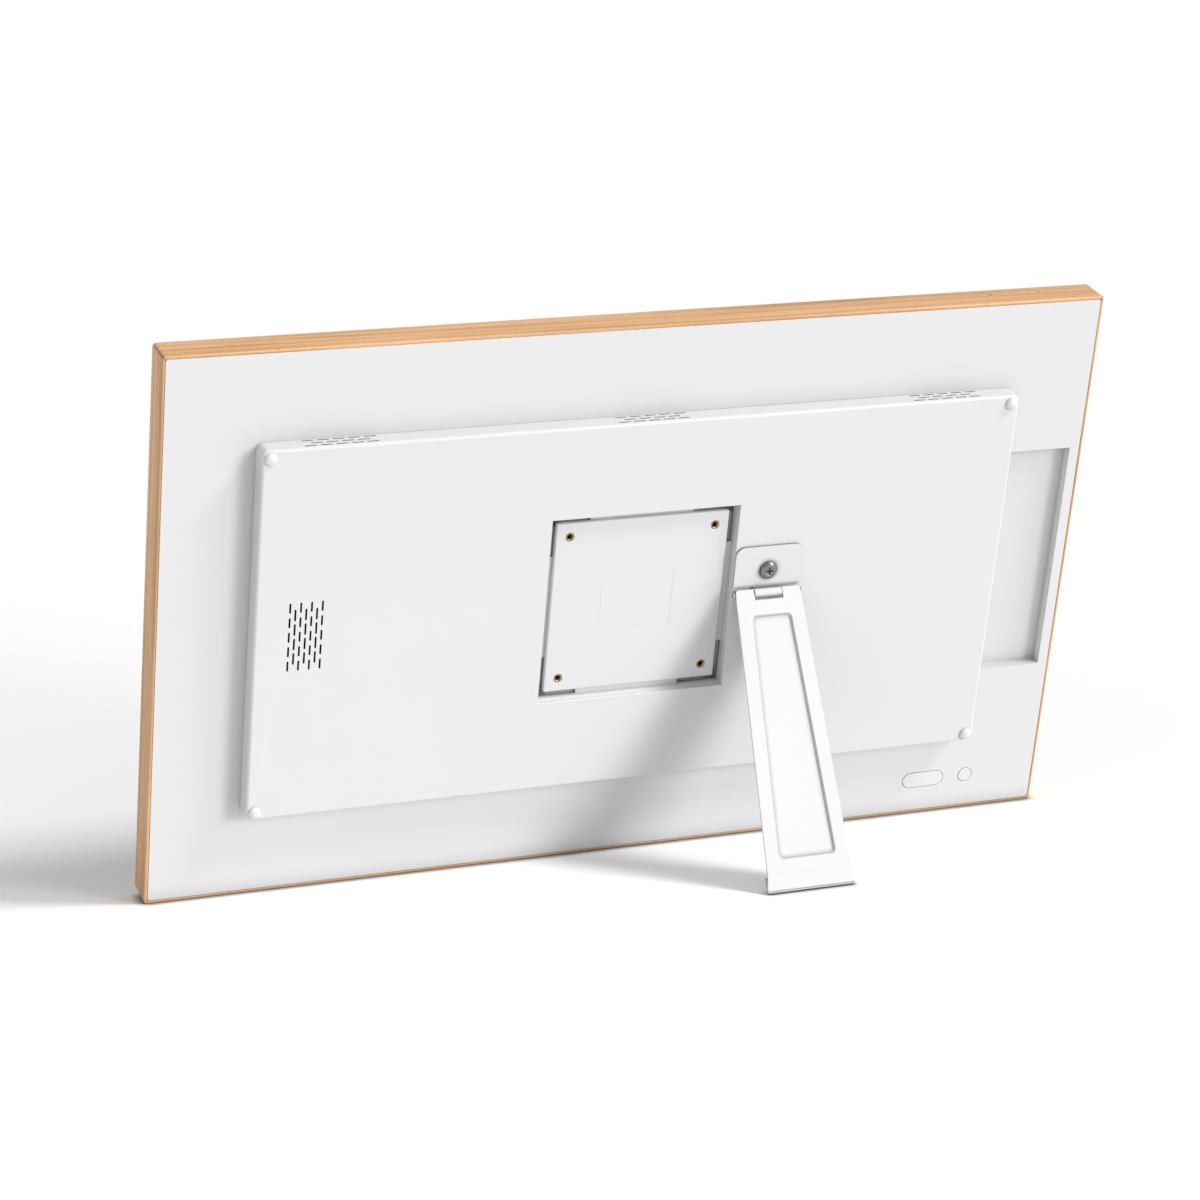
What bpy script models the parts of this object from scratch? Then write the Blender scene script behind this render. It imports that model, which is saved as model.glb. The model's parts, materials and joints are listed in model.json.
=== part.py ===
"""A 27-inch digital photo frame, leaning back on its fold-out sheet-metal leg.

The frame's own axes are X across, Y out of the back and Z up the back face, with
the origin at the centre of the white rear panel. An empty called frame_axes holds
that frame and leans it back until the rear bottom edge and the leg's rubber foot
stand on the ground plane. The leg hangs from an empty on the hinge pin.
"""
import math

import bmesh
import bpy
from mathutils import Matrix, Vector

MM = 0.001

# ---- fits ----
GAP = 0.3 * MM             # clearance between pieces that touch or sit in each other
TRAVEL_ROOM = 0.25 * MM    # what is left between a pressed key and its switch

# ---- oak frame ----
FRAME_WIDTH = 635 * MM
FRAME_HEIGHT = 375 * MM
LIP_WIDTH = 9 * MM         # front lip that covers the edge of the glass
LIP_THICKNESS = 3 * MM
RAIL_WALL = 6 * MM         # rail thickness beside the display
RAIL_RIM = 2 * MM          # thin rim around the rear panel
EDGE_RADIUS = 1.5 * MM
CORNER_RADIUS = 2.5 * MM
CORNER_BLOCK_LEG = 28 * MM
CORNER_BLOCK_THICKNESS = 8 * MM
MIC_SPACING = 35.3 * MM
MIC_FROM_END = 59.45 * MM  # middle of the two microphone holes to the end of the rail
MIC_DEPTH = 14 * MM        # microphone holes below the rear face
MIC_HOLE_RADIUS = 0.65 * MM
MITRE_SPARE = 20 * MM      # how far a mitre's cutter runs past the rail on each side

# ---- rear panel ----
PANEL_THICKNESS = 2 * MM
CASE_LEDGE = 12 * MM       # panel left under the case's rim
BAY_FROM_SIDE = 9.5 * MM   # far wall of the socket bay to the frame's side
BAY_HEIGHT = 160 * MM
BAY_DEPTH = 8 * MM
BAY_WALL = 1.5 * MM

# ---- rear case ----
CASE_FROM_SIDE = 60.5 * MM   # case to the frame's sides
CASE_FROM_TOP = 60.25 * MM   # case to the frame's top and bottom
CASE_RISE = 13.4 * MM
CASE_WALL = 2 * MM
CASE_CORNER_RADIUS = 4.5 * MM
CASE_EDGE_RADIUS = 2 * MM
CASE_SCREW_INSET = 5.6 * MM
CASE_BOSS_RADIUS = 5 * MM
CASE_SCREW_SHAFT = 1.25 * MM
CASE_SCREW_HEAD = 2.8 * MM
CASE_SCREW_HEAD_HEIGHT = 1.8 * MM
CASE_SCREW_SINK = 4.8 * MM  # seat of the screw's head below the case's face
CASE_SCREW_TAIL = 1.1 * MM   # screw's end below the rear panel
BUMPER_RADIUS = 4.3 * MM
BUMPER_RISE = 2.5 * MM
BUMPER_STEM_RADIUS = 2.9 * MM
BUMPER_STEM = 2.2 * MM

# ---- slots ----
GRILLE_FROM_EDGE = 33 * MM   # middle of the speaker slots to the case's side
GRILLE_COLUMNS = 7
GRILLE_COLUMN_PITCH = 3.5 * MM
GRILLE_SLOT_PITCH = 10 * MM
GRILLE_SLOT_WIDTH = 1.3 * MM
GRILLE_LONG_COLUMN = (5, 7.2 * MM)   # slots in an even column and their length
GRILLE_SHORT_COLUMN = (4, 8.2 * MM)  # the same for an odd column
VENT_FROM_EDGE = 51.5 * MM   # middle of an end group of cooling slots to the case's side
VENT_ROW_FIRST = 2.0 * MM
VENT_ROW_LAST = 1.8 * MM     # last row below the inside of the case's face
VENT_ROW_COUNTS = (5, 4, 5)
VENT_SLOT_PITCH = 10 * MM
VENT_SLOT_LENGTH = 8 * MM
VENT_SLOT_WIDTH = 1.2 * MM

# ---- wall mounting plate ----
VESA_PITCH = 100 * MM
VESA_MARGIN = 9.5 * MM     # plate's edge to the insert centres
VESA_CLEARANCE = 5 * MM    # between the plate and the opening in the case
VESA_SINK = 5 * MM         # the plate's face below the case's face
VESA_THICKNESS = 3 * MM
VESA_CHAMFER = 0.6 * MM
VESA_LEDGE_END = 14.5 * MM # end of a ledge to the nearest insert centre
VESA_LEDGE_REACH = 12 * MM
VESA_LEDGE_THICKNESS = 1.8 * MM
VESA_WELL_WALL = 2 * MM
WELL_STEP = 0.3 * MM       # the well narrows below its mouth and widens below its ledges
VESA_BOSS_RADIUS = 4.6 * MM
VESA_BOSS_LENGTH = 3 * MM
INSERT_RADIUS = 2.9 * MM
INSERT_BORE = 1.65 * MM
INSERT_LENGTH = 5.5 * MM
BRACKET_SHEET = 2 * MM
BRACKET_FLANGE = 15 * MM

# ---- display stack, front to back ----
GLASS_THICKNESS = 2 * MM
GASKET_THICKNESS = 1 * MM
DISPLAY_FROM_SIDE = 18.55 * MM   # picture area to the frame's sides
DISPLAY_FROM_TOP = 19.35 * MM    # picture area to the frame's top and bottom
PAN_CLEARANCE = 4.5 * MM   # between the display pan and the rails
PAN_DEPTH = 5.6 * MM
PAN_SHEET = 1 * MM
PAN_TO_BAY = 1.5 * MM      # between the display pan and the socket bay's floor
LCD_THICKNESS = 1.8 * MM
LIGHT_GUIDE_THICKNESS = 2 * MM
LED_STRIP_HEIGHT = 3 * MM
LED_STRIP_THICKNESS = 1.6 * MM

# ---- main board ----
BOARD_WIDTH = 112 * MM
BOARD_HEIGHT = 124 * MM
BOARD_THICKNESS = 1.6 * MM
BOARD_LIFT = 2.8 * MM      # board above the back of the display pan
BOARD_HOLE_INSET = 5 * MM
BOARD_POST_RADIUS = 3 * MM
BOARD_SCREW_SHAFT = 1.2 * MM
BOARD_SCREW_HEAD = 2.6 * MM
BOARD_SCREW_HEAD_HEIGHT = 1.4 * MM
BOARD_SCREW_LENGTH = 3.6 * MM
HEAT_SINK_SIZE = 40 * MM
HEAT_SINK_HEIGHT = 9 * MM
HEAT_SINK_BASE = 2 * MM
HEAT_SINK_FINS = 6
FIN_THICKNESS = 1.4 * MM
SOCKET_LIFT = 3 * MM       # sockets above the board
JACK_Z, JACK_SIZE = 40 * MM, (14 * MM, 11 * MM, 11 * MM)
JACK_HOLE, JACK_PIN = 3.4 * MM, 1.0 * MM
USB_Z, USB_SIZE, USB_MOUTH = 5 * MM, (17 * MM, 7 * MM, 14.5 * MM), (5.2 * MM, 12.6 * MM)
CARD_Z, CARD_SIZE, CARD_MOUTH = -35 * MM, (26 * MM, 4 * MM, 28 * MM), (2.4 * MM, 24.6 * MM)
USB_TONGUE = (1.6 * MM, 11 * MM)
SOCKET_BACK = 2 * MM       # wall left behind a socket's mouth
SOCKET_WALL_MARGIN = 1 * MM  # opening in the case's side around a socket's mouth

# ---- keys and their switches ----
KEYS_FROM_BOTTOM = 25.7 * MM
ROCKER_FROM_SIDE = 86.5 * MM
POWER_FROM_SIDE = 54.2 * MM
ROCKER_LENGTH = 30.5 * MM
ROCKER_WIDTH = 11 * MM
ROCKER_POST_OFFSET = 10 * MM
POWER_RADIUS = 5 * MM
POWER_FLANGE = 1.3 * MM
POWER_TRAVEL = 0.6 * MM
ROCKER_SWING = math.radians(2)
KEY_PROUD = 0.2 * MM
KEY_CAP_DEPTH = 2.4 * MM
KEY_EDGE_RADIUS = 0.4 * MM
KEY_POST_RADIUS = 1.5 * MM
ROCKER_PIN_RADIUS = 0.75 * MM
ROCKER_PIN_DEPTH = 4.2 * MM   # rocker's axis below the rear panel's face
ROCKER_EAR = 2 * MM
ROCKER_RIB_INSET = 1 * MM
SWITCH_SIZE = 6 * MM
SWITCH_HEIGHT = 2.2 * MM
BUTTON_BOARD_LIFT = 0.3 * MM
BUTTON_BOARD_THICKNESS = 1.4 * MM
BUTTON_BOARD_MARGIN = 5 * MM

# ---- speaker, microphones, cables ----
SPEAKER_SIZE = (31 * MM, 58 * MM)
SPEAKER_DEPTH = 8.5 * MM
SPEAKER_RIM = 2.6 * MM
SPEAKER_GASKET = 0.8 * MM
SPEAKER_CORNER = 4 * MM
SPEAKER_CONE_DEPTH = 1.5 * MM
MIC_BOARD_SIZE = (46 * MM, 5 * MM, 1.2 * MM)
RIBBON_THICKNESS = 0.4 * MM
DISPLAY_RIBBON_WIDTH = 28 * MM
BUTTON_RIBBON_WIDTH = 10 * MM
RIBBON_FROM_PAN_END = 30 * MM
RIBBON_BENDS = (14 * MM, 3 * MM)  # a ribbon's two bends below the board's edge
RIBBON_LAP = (6 * MM, 1.5 * MM)   # how far it lies over the board, and how high
LEAD_RADIUS = 1 * MM
LEAD_BEND = 14 * MM
LEAD_CLEARANCE = 10 * MM    # lead beside the main board and the speaker's middle
LEAD_BELOW_PLATE = 22 * MM
LEAD_END_Z = -30 * MM
ANTENNA_SIZE = (60 * MM, 0.5 * MM, 12 * MM)

# ---- stand ----
STAND_OPEN = math.radians(35)   # leg to the rear panel, as it stands
HINGE_Z = 2.2 * MM
KNUCKLE_RADIUS = 3.3 * MM
KNUCKLE_WIDTH = 19 * MM
PIN_RADIUS = 1.2 * MM
PIN_HEAD_RADIUS = 2.4 * MM
PIN_HEAD = 0.8 * MM
LEAF_WIDTH = 47 * MM
LEAF_THICKNESS = 1.5 * MM
LEAF_BOTTOM = 6.0 * MM
LEAF_TOP = 34.5 * MM
LEAF_CORNER = 6 * MM
STAND_SCREW_Z = 17.7 * MM
STAND_SCREW_HEAD = 6 * MM
STAND_SCREW_RISE = 2.6 * MM
STAND_SCREW_SHAFT = 2 * MM
CROSS_LENGTH, CROSS_WIDTH, CROSS_DEPTH = 4.8 * MM, 1.1 * MM, 1.4 * MM
CROSS_STEP = 0.1 * MM      # one slot of the cross is this much shallower
NUT_SIZE = (40 * MM, 2.5 * MM, 20 * MM)
LEG_SHEET = 1.5 * MM
LEG_OFFSET = 2.6 * MM      # hinge axis to the leg's outer face
LEG_ABOVE_AXIS = 2.5 * MM
LEG_TO_BEND = 182.3 * MM   # hinge axis to the bend above the foot lip
LEG_LIP = 10.5 * MM
LEG_HALF_TOP = 22.9 * MM
LEG_HALF_BEND = 29.5 * MM
LEG_HALF_END = 31 * MM
LEG_NOTCH_DEPTH = 7.3 * MM
LEG_NOTCH_SIDE = 0.5 * MM  # between the knuckle and each side of the notch
LEG_CORNER = 2 * MM
EAR_RADIUS = 2.6 * MM
EAR_INSET = 0.2 * MM       # ear's outer face to the leg's side
EAR_STEP = 0.4 * MM        # where the ear's curve meets the sheet
RECESS_START = 0.2 * MM    # the pressed panel's edge starts this far in
RECESS_FROM = 14.5 * MM    # hinge axis to the upper edge of the pressed panel
RECESS_TO_BEND = 8.8 * MM  # its lower edge to the bend
RECESS_SIDE_TOP = 9.2 * MM # its sides to the leg's sides, at its upper and lower edges
RECESS_SIDE_BOTTOM = 8.8 * MM
RECESS_SLOPE = 1.3 * MM
RECESS_DEPTH = 1.6 * MM
RECESS_CORNER = 3 * MM
FOOT_PAD = 1.6 * MM
FOOT_PAD_HEIGHT = 9 * MM
FOOT_TIP = 1 * MM
FOOT_RADIUS = 0.5 * MM

# ---- sizes that follow from the ones above ----
STACK_DEPTH = GLASS_THICKNESS + GASKET_THICKNESS + PAN_DEPTH + 3 * GAP
FRAME_DEPTH = LIP_THICKNESS + STACK_DEPTH + PAN_TO_BAY + BAY_WALL + BAY_DEPTH
HALF_W = FRAME_WIDTH / 2
HALF_H = FRAME_HEIGHT / 2
CAVITY_W = FRAME_WIDTH - 2 * RAIL_WALL
CAVITY_H = FRAME_HEIGHT - 2 * RAIL_WALL
PANEL_W = FRAME_WIDTH - 2 * RAIL_RIM - 2 * GAP
PANEL_H = FRAME_HEIGHT - 2 * RAIL_RIM - 2 * GAP
CASE_WIDTH = FRAME_WIDTH - 2 * CASE_FROM_SIDE
CASE_HEIGHT = FRAME_HEIGHT - 2 * CASE_FROM_TOP
CASE_EDGE_X = CASE_WIDTH / 2
CASE_INNER = CASE_RISE - CASE_WALL
OPENING_W = CASE_WIDTH - 2 * CASE_LEDGE
OPENING_H = CASE_HEIGHT - 2 * CASE_LEDGE
BAY_FAR_X = -(HALF_W - BAY_FROM_SIDE)
GRILLE_X = CASE_EDGE_X - GRILLE_FROM_EDGE
VENT_GROUP_OFFSET = CASE_EDGE_X - VENT_FROM_EDGE
VENT_ROW_PITCH = (CASE_INNER - VENT_ROW_LAST - VENT_ROW_FIRST) / (len(VENT_ROW_COUNTS) - 1)
CASE_SCREW_LENGTH = CASE_RISE - CASE_SCREW_SINK + GAP + PANEL_THICKNESS + CASE_SCREW_TAIL
VESA_PLATE = VESA_PITCH + 2 * VESA_MARGIN
VESA_LEDGE_LENGTH = VESA_PITCH - 2 * VESA_LEDGE_END
VESA_FACE = CASE_RISE - VESA_SINK
VESA_OPENING = VESA_PLATE + 2 * VESA_CLEARANCE
VESA_BACK = VESA_FACE - VESA_THICKNESS
DISPLAY_WIDTH = FRAME_WIDTH - 2 * DISPLAY_FROM_SIDE
DISPLAY_HEIGHT = FRAME_HEIGHT - 2 * DISPLAY_FROM_TOP
GLASS_FRONT = -FRAME_DEPTH + LIP_THICKNESS + GAP
GASKET_FRONT = GLASS_FRONT + GLASS_THICKNESS + GAP
PAN_FRONT = GASKET_FRONT + GASKET_THICKNESS + GAP
PAN_BACK = PAN_FRONT + PAN_DEPTH
PAN_W = CAVITY_W - 2 * PAN_CLEARANCE
PAN_H = CAVITY_H - 2 * PAN_CLEARANCE
BOARD_BACK = PAN_BACK + BOARD_LIFT
BOARD_FRONT = BOARD_BACK + BOARD_THICKNESS
BOARD_LEFT = -CASE_EDGE_X + CASE_WALL + 2 * GAP
BOARD_CENTRE_X = BOARD_LEFT + BOARD_WIDTH / 2
ROCKER_CENTRE = (-(HALF_W - ROCKER_FROM_SIDE), -(HALF_H - KEYS_FROM_BOTTOM))
POWER_CENTRE = (-(HALF_W - POWER_FROM_SIDE), -(HALF_H - KEYS_FROM_BOTTOM))
STAND_X = -(VESA_OPENING + LEAF_WIDTH) / 2   # the leaf stands beside the recess
HINGE_Y = CASE_RISE + GAP + KNUCKLE_RADIUS
LEG_END = LEG_TO_BEND + LEG_LIP
RECESS_TO = LEG_TO_BEND - RECESS_TO_BEND
EAR_SIDE = LEG_HALF_TOP - EAR_INSET
HOLE = GAP                 # extra radius of a hole around its screw or pin


# ---------------------------------------------------------------- scene
def clear_scene():
    for old in list(bpy.data.objects):
        bpy.data.objects.remove(old, do_unlink=True)


def make_collection(name):
    collection = bpy.data.collections.new(name)
    bpy.context.scene.collection.children.link(collection)
    return collection


def make_empty(name, parent, location, lean):
    empty = bpy.data.objects.new(name, None)
    PARTS.objects.link(empty)
    empty.parent = parent
    empty.location = location
    empty.rotation_euler = (lean, 0, 0)
    return empty


def material(name, colour, roughness, metallic=0.0):
    made = bpy.data.materials.get(name)
    if made:
        return made
    made = bpy.data.materials.new(name)
    made.use_nodes = True
    shader = made.node_tree.nodes["Principled BSDF"]
    shader.inputs["Base Color"].default_value = (*colour, 1)
    shader.inputs["Roughness"].default_value = roughness
    shader.inputs["Metallic"].default_value = metallic
    made.diffuse_color = (*colour, 1)
    return made


def oak():
    return material("oak", (0.66, 0.43, 0.24), 0.5)


def white_plastic():
    return material("white_plastic", (0.84, 0.84, 0.84), 0.45)


def white_paint():
    return material("white_paint", (0.90, 0.90, 0.90), 0.35)


def bare_steel():
    return material("bare_steel", (0.55, 0.56, 0.58), 0.35, 1.0)


def dark_steel():
    return material("dark_steel", (0.16, 0.16, 0.17), 0.3, 1.0)


def brass():
    return material("brass", (0.72, 0.50, 0.24), 0.3, 1.0)


def black_plastic():
    return material("black_plastic", (0.02, 0.02, 0.022), 0.5)


def rubber():
    return material("rubber", (0.18, 0.18, 0.18), 0.8)


def circuit_board():
    return material("circuit_board", (0.02, 0.14, 0.07), 0.5)


def black_glass():
    return material("black_glass", (0.012, 0.012, 0.014), 0.08)


def clear_acrylic():
    return material("clear_acrylic", (0.85, 0.88, 0.9), 0.15)


def amber_film():
    return material("amber_film", (0.55, 0.28, 0.05), 0.35)


# ---------------------------------------------------------------- shapes
def box(low, high):
    """Box between two corners."""
    shape = bmesh.new()
    bmesh.ops.create_cube(shape, size=1)
    low, high = Vector(low), Vector(high)
    bmesh.ops.scale(shape, vec=high - low, verts=shape.verts)
    bmesh.ops.translate(shape, vec=(low + high) / 2, verts=shape.verts)
    return shape


def block(size, centre):
    half = Vector(size) / 2
    return box(Vector(centre) - half, Vector(centre) + half)


def rod(start, end, radius, segments=20, end_radius=None):
    """Cylinder or cone between two points."""
    start, end = Vector(start), Vector(end)
    shape = bmesh.new()
    length = (end - start).length
    tip = radius if end_radius is None else end_radius
    bmesh.ops.create_cone(shape, cap_ends=True, segments=segments, radius1=radius, radius2=tip,
                          depth=length)
    turn = Vector((0, 0, 1)).rotation_difference(end - start).to_matrix().to_4x4()
    bmesh.ops.transform(shape, matrix=Matrix.Translation((start + end) / 2) @ turn, verts=shape.verts)
    return shape


def merged(*shapes):
    """Several shapes in one mesh, still separate bodies."""
    together = bmesh.new()
    for shape in shapes:
        mesh = bpy.data.meshes.new("merge")
        shape.to_mesh(mesh)
        together.from_mesh(mesh)
        shape.free()
        bpy.data.meshes.remove(mesh)
    return together


def arc(centre, radius, start, end, steps):
    """Points on a circle, from one angle to another in degrees."""
    angles = [math.radians(start + (end - start) * i / steps) for i in range(steps + 1)]
    return [(centre[0] + radius * math.cos(a), centre[1] + radius * math.sin(a)) for a in angles]


def rectangle(width, height, centre=(0, 0)):
    x, z = centre
    return [(x - width / 2, z - height / 2), (x + width / 2, z - height / 2),
            (x + width / 2, z + height / 2), (x - width / 2, z + height / 2)]


def rounded_rectangle(width, height, radius, centre=(0, 0), steps=4):
    x, z = width / 2 - radius, height / 2 - radius
    points = []
    for quarter, (sx, sz) in enumerate(((1, 1), (-1, 1), (-1, -1), (1, -1))):
        corner = (centre[0] + sx * x, centre[1] + sz * z)
        points += arc(corner, radius, 90 * quarter, 90 * quarter + 90, steps)
    return points


def slot(length, width, centre, upright=False, steps=4):
    """Round-ended slot."""
    reach = (length - width) / 2
    ends = []
    for side, first in ((1, -90), (-1, 90)):
        ends += arc((side * reach, 0), width / 2, first, first + 180, steps)
    if upright:
        ends = [(-z, x) for x, z in ends]
    return [(x + centre[0], z + centre[1]) for x, z in ends]


def prism(outlines, low, high, axis="Y", whole_caps=False):
    """Flat outline given a thickness along an axis. The outlines after the first are holes.

    The outline's two coordinates are (X, Z) for axis Y, (X, Y) for axis Z and (Y, Z) for axis X.
    whole_caps makes each end one face, so that its edges can be rounded.
    """
    curve = bpy.data.curves.new("outline", "CURVE")
    curve.dimensions = "2D"
    curve.fill_mode = "BOTH"
    curve.extrude = (high - low) / 2
    for outline in outlines:
        spline = curve.splines.new("POLY")
        spline.points.add(len(outline) - 1)
        for point, (u, v) in zip(spline.points, outline):
            point.co = (u, v, 0, 1)
        spline.use_cyclic_u = True
    drawn = bpy.data.objects.new("outline", curve)
    bpy.context.scene.collection.objects.link(drawn)
    mesh = bpy.data.meshes.new_from_object(drawn.evaluated_get(bpy.context.evaluated_depsgraph_get()))
    shape = bmesh.new()
    shape.from_mesh(mesh)
    bmesh.ops.remove_doubles(shape, verts=shape.verts, dist=1e-6)
    if whole_caps:
        bmesh.ops.dissolve_limit(shape, angle_limit=0.001, verts=shape.verts, edges=shape.edges)
    middle = (high + low) / 2
    turns = {
        "Z": Matrix.Translation((0, 0, middle)),
        "Y": Matrix.Translation((0, middle, 0)) @ Matrix.Rotation(math.pi / 2, 4, "X"),
        "X": Matrix(((0, 0, 1, middle), (1, 0, 0, 0), (0, 1, 0, 0), (0, 0, 0, 1))),
    }
    bmesh.ops.transform(shape, matrix=turns[axis], verts=shape.verts)
    bmesh.ops.recalc_face_normals(shape, faces=shape.faces)
    bpy.data.objects.remove(drawn, do_unlink=True)
    bpy.data.curves.remove(curve)
    bpy.data.meshes.remove(mesh)
    return shape


def tapered_prism(near, near_y, far, far_y):
    """Solid between two outlines of the same number of points, at two depths."""
    shape = bmesh.new()
    ends = []
    for outline, y in ((near, near_y), (far, far_y)):
        ends.append([shape.verts.new((x, y, z)) for x, z in outline])
        shape.faces.new(ends[-1])
    count = len(near)
    for i in range(count):
        j = (i + 1) % count
        shape.faces.new((ends[0][i], ends[0][j], ends[1][j], ends[1][i]))
    bmesh.ops.recalc_face_normals(shape, faces=shape.faces)
    return shape


def round_edges(shape, pick, radius, segments):
    """Round the sharp edges whose two ends both satisfy pick."""
    edges = [e for e in shape.edges
             if pick(e.verts[0].co) and pick(e.verts[1].co) and e.calc_face_angle(0) > math.radians(40)]
    bmesh.ops.bevel(shape, geom=edges, offset=radius, segments=segments, profile=0.5, affect="EDGES")
    return shape


def near(value, target):
    return abs(value - target) < 1e-6


# ---------------------------------------------------------------- objects
def place(name, shape, finish, parent=None, origin=(0, 0, 0), smooth=True):
    """Make a shape, drawn in its parent's axes, a named part with its own origin."""
    bmesh.ops.translate(shape, vec=-Vector(origin), verts=shape.verts)
    mesh = bpy.data.meshes.new(name)
    shape.to_mesh(mesh)
    shape.free()
    if smooth:
        mesh.shade_smooth()
        mesh.set_sharp_from_angle(angle=math.radians(35))
    mesh.materials.append(finish)
    made = bpy.data.objects.new(name, mesh)
    PARTS.objects.link(made)
    made.parent = parent or FRAME_AXES
    made.location = origin
    return made


def tool(name, shape, parent=None):
    """A hidden shape that cuts or joins its neighbours."""
    mesh = bpy.data.meshes.new(name)
    shape.to_mesh(mesh)
    shape.free()
    made = bpy.data.objects.new(name, mesh)
    TOOLS.objects.link(made)
    made.parent = parent or FRAME_AXES
    made.display_type = "WIRE"
    made.hide_render = True
    return made


def combine(target, operation, *tools):
    for used in tools:
        step = target.modifiers.new(used.name, "BOOLEAN")
        step.operation = operation
        step.solver = "EXACT"
        step.object = used


def cut(target, *tools):
    combine(target, "DIFFERENCE", *tools)


def join(target, *tools):
    combine(target, "UNION", *tools)


def corners(half_x, half_z):
    """The four corners of a rectangle, numbered from the top at +X, clockwise as seen from behind."""
    return [(half_x, half_z), (-half_x, half_z), (-half_x, -half_z), (half_x, -half_z)]


# ---------------------------------------------------------------- oak frame
def mitre_wedge(name, side):
    """Trapezoid that keeps one rail of the ring, cut back by half the gap along each mitre."""
    reach = HALF_H + MITRE_SPARE
    inner = HALF_H - LIP_WIDTH - MITRE_SPARE
    back = GAP / math.sqrt(2)
    shift = HALF_W - HALF_H
    across = [(-(inner + shift - back), inner), (inner + shift - back, inner),
              (reach + shift - back, reach), (-(reach + shift - back), reach)]
    along = [(inner + shift, -(inner - back)), (reach + shift, -(reach - back)),
             (reach + shift, reach - back), (inner + shift, inner - back)]
    turned = {
        "top": across,
        "bottom": [(x, -z) for x, z in across],
        "right": along,
        "left": [(-x, z) for x, z in along],
    }[side]
    return tool(name, prism([turned], -2 * FRAME_DEPTH, FRAME_DEPTH))


def frame_rails():
    """Four mitred rails: a rounded slab, hollowed for the glass and the panel, cut at the corners."""
    front = -FRAME_DEPTH
    opening = rectangle(FRAME_WIDTH - 2 * LIP_WIDTH, FRAME_HEIGHT - 2 * LIP_WIDTH)
    view = tool("cut_view_opening", prism([opening], front - MM, front + 2 * LIP_THICKNESS))
    cavity = tool("cut_display_cavity", prism([rectangle(CAVITY_W, CAVITY_H)], front + LIP_THICKNESS, MM))
    rebate = tool("cut_panel_rebate", prism([rectangle(PANEL_W + 2 * GAP, PANEL_H + 2 * GAP)],
                                            -PANEL_THICKNESS - GAP, 2 * MM))
    mics = tool("cut_mic_holes", merged(*[
        rod((x, -MIC_DEPTH, HALF_H - 2 * RAIL_WALL), (x, -MIC_DEPTH, HALF_H + MM), MIC_HOLE_RADIUS, 12)
        for x in mic_positions()]))
    for side in ("top", "bottom", "left", "right"):
        slab = prism([rounded_rectangle(FRAME_WIDTH, FRAME_HEIGHT, CORNER_RADIUS, steps=5)], -FRAME_DEPTH, 0,
                     whole_caps=True)
        round_edges(slab, lambda p: near(p.y, 0), EDGE_RADIUS, 4)
        round_edges(slab, lambda p: near(p.y, -FRAME_DEPTH), EDGE_RADIUS, 4)
        rail = place("frame_rail_" + side, slab, oak())
        cut(rail, view, cavity, rebate)
        combine(rail, "INTERSECT", mitre_wedge("keep_rail_" + side, side))
        if side == "top":
            cut(rail, mics)


def mic_positions():
    middle = -(HALF_W - MIC_FROM_END)
    return (middle - MIC_SPACING / 2, middle + MIC_SPACING / 2)


def corner_blocks():
    """Triangular glue blocks in the corners, behind the display and under the rear panel."""
    x, z = CAVITY_W / 2 - GAP, CAVITY_H / 2 - GAP
    high = -PANEL_THICKNESS - GAP
    for number, (sx, sz) in enumerate(corners(1, 1), 1):
        outline = [(sx * x, sz * z), (sx * (x - CORNER_BLOCK_LEG), sz * z),
                   (sx * x, sz * (z - CORNER_BLOCK_LEG))]
        if sx * sz > 0:
            outline.reverse()
        glue_block = prism([outline], high - CORNER_BLOCK_THICKNESS, high)
        place("corner_block_%d" % number, glue_block, oak(), smooth=False)


# ---------------------------------------------------------------- display
def display_stack():
    glass = prism([rounded_rectangle(CAVITY_W - 2 * GAP, CAVITY_H - 2 * GAP, CORNER_RADIUS)],
                  GLASS_FRONT, GLASS_FRONT + GLASS_THICKNESS)
    place("front_glass", glass, black_glass())
    ring = [rectangle(CAVITY_W - 2 * GAP, CAVITY_H - 2 * GAP), rectangle(DISPLAY_WIDTH, DISPLAY_HEIGHT)]
    gasket = prism(ring, GASKET_FRONT, GASKET_FRONT + GASKET_THICKNESS)
    place("glass_gasket", gasket, black_plastic(), smooth=False)
    inner_w, inner_h = PAN_W - 2 * PAN_SHEET, PAN_H - 2 * PAN_SHEET
    lcd_back = PAN_FRONT + GAP + LCD_THICKNESS
    lcd = prism([rectangle(inner_w - 2 * GAP, inner_h - 2 * GAP)], PAN_FRONT + GAP, lcd_back)
    place("lcd_cell", lcd, black_glass(), smooth=False)
    floor = PAN_BACK - PAN_SHEET
    guide_bottom = -inner_h / 2 + LED_STRIP_HEIGHT + 2 * GAP
    guide_back = floor - GAP
    guide = box((-inner_w / 2 + GAP, guide_back - LIGHT_GUIDE_THICKNESS, guide_bottom),
                (inner_w / 2 - GAP, guide_back, inner_h / 2 - GAP))
    place("light_guide", guide, clear_acrylic(), smooth=False)
    strip = box((-inner_w / 2 + GAP, guide_back - LED_STRIP_THICKNESS, -inner_h / 2 + GAP),
                (inner_w / 2 - GAP, guide_back, -inner_h / 2 + GAP + LED_STRIP_HEIGHT))
    place("led_strip", strip, white_plastic(), smooth=False)


def board_screw_places():
    x, z = BOARD_WIDTH / 2 - BOARD_HOLE_INSET, BOARD_HEIGHT / 2 - BOARD_HOLE_INSET
    return [(BOARD_CENTRE_X + dx, dz) for dx, dz in corners(x, z)]


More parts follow.
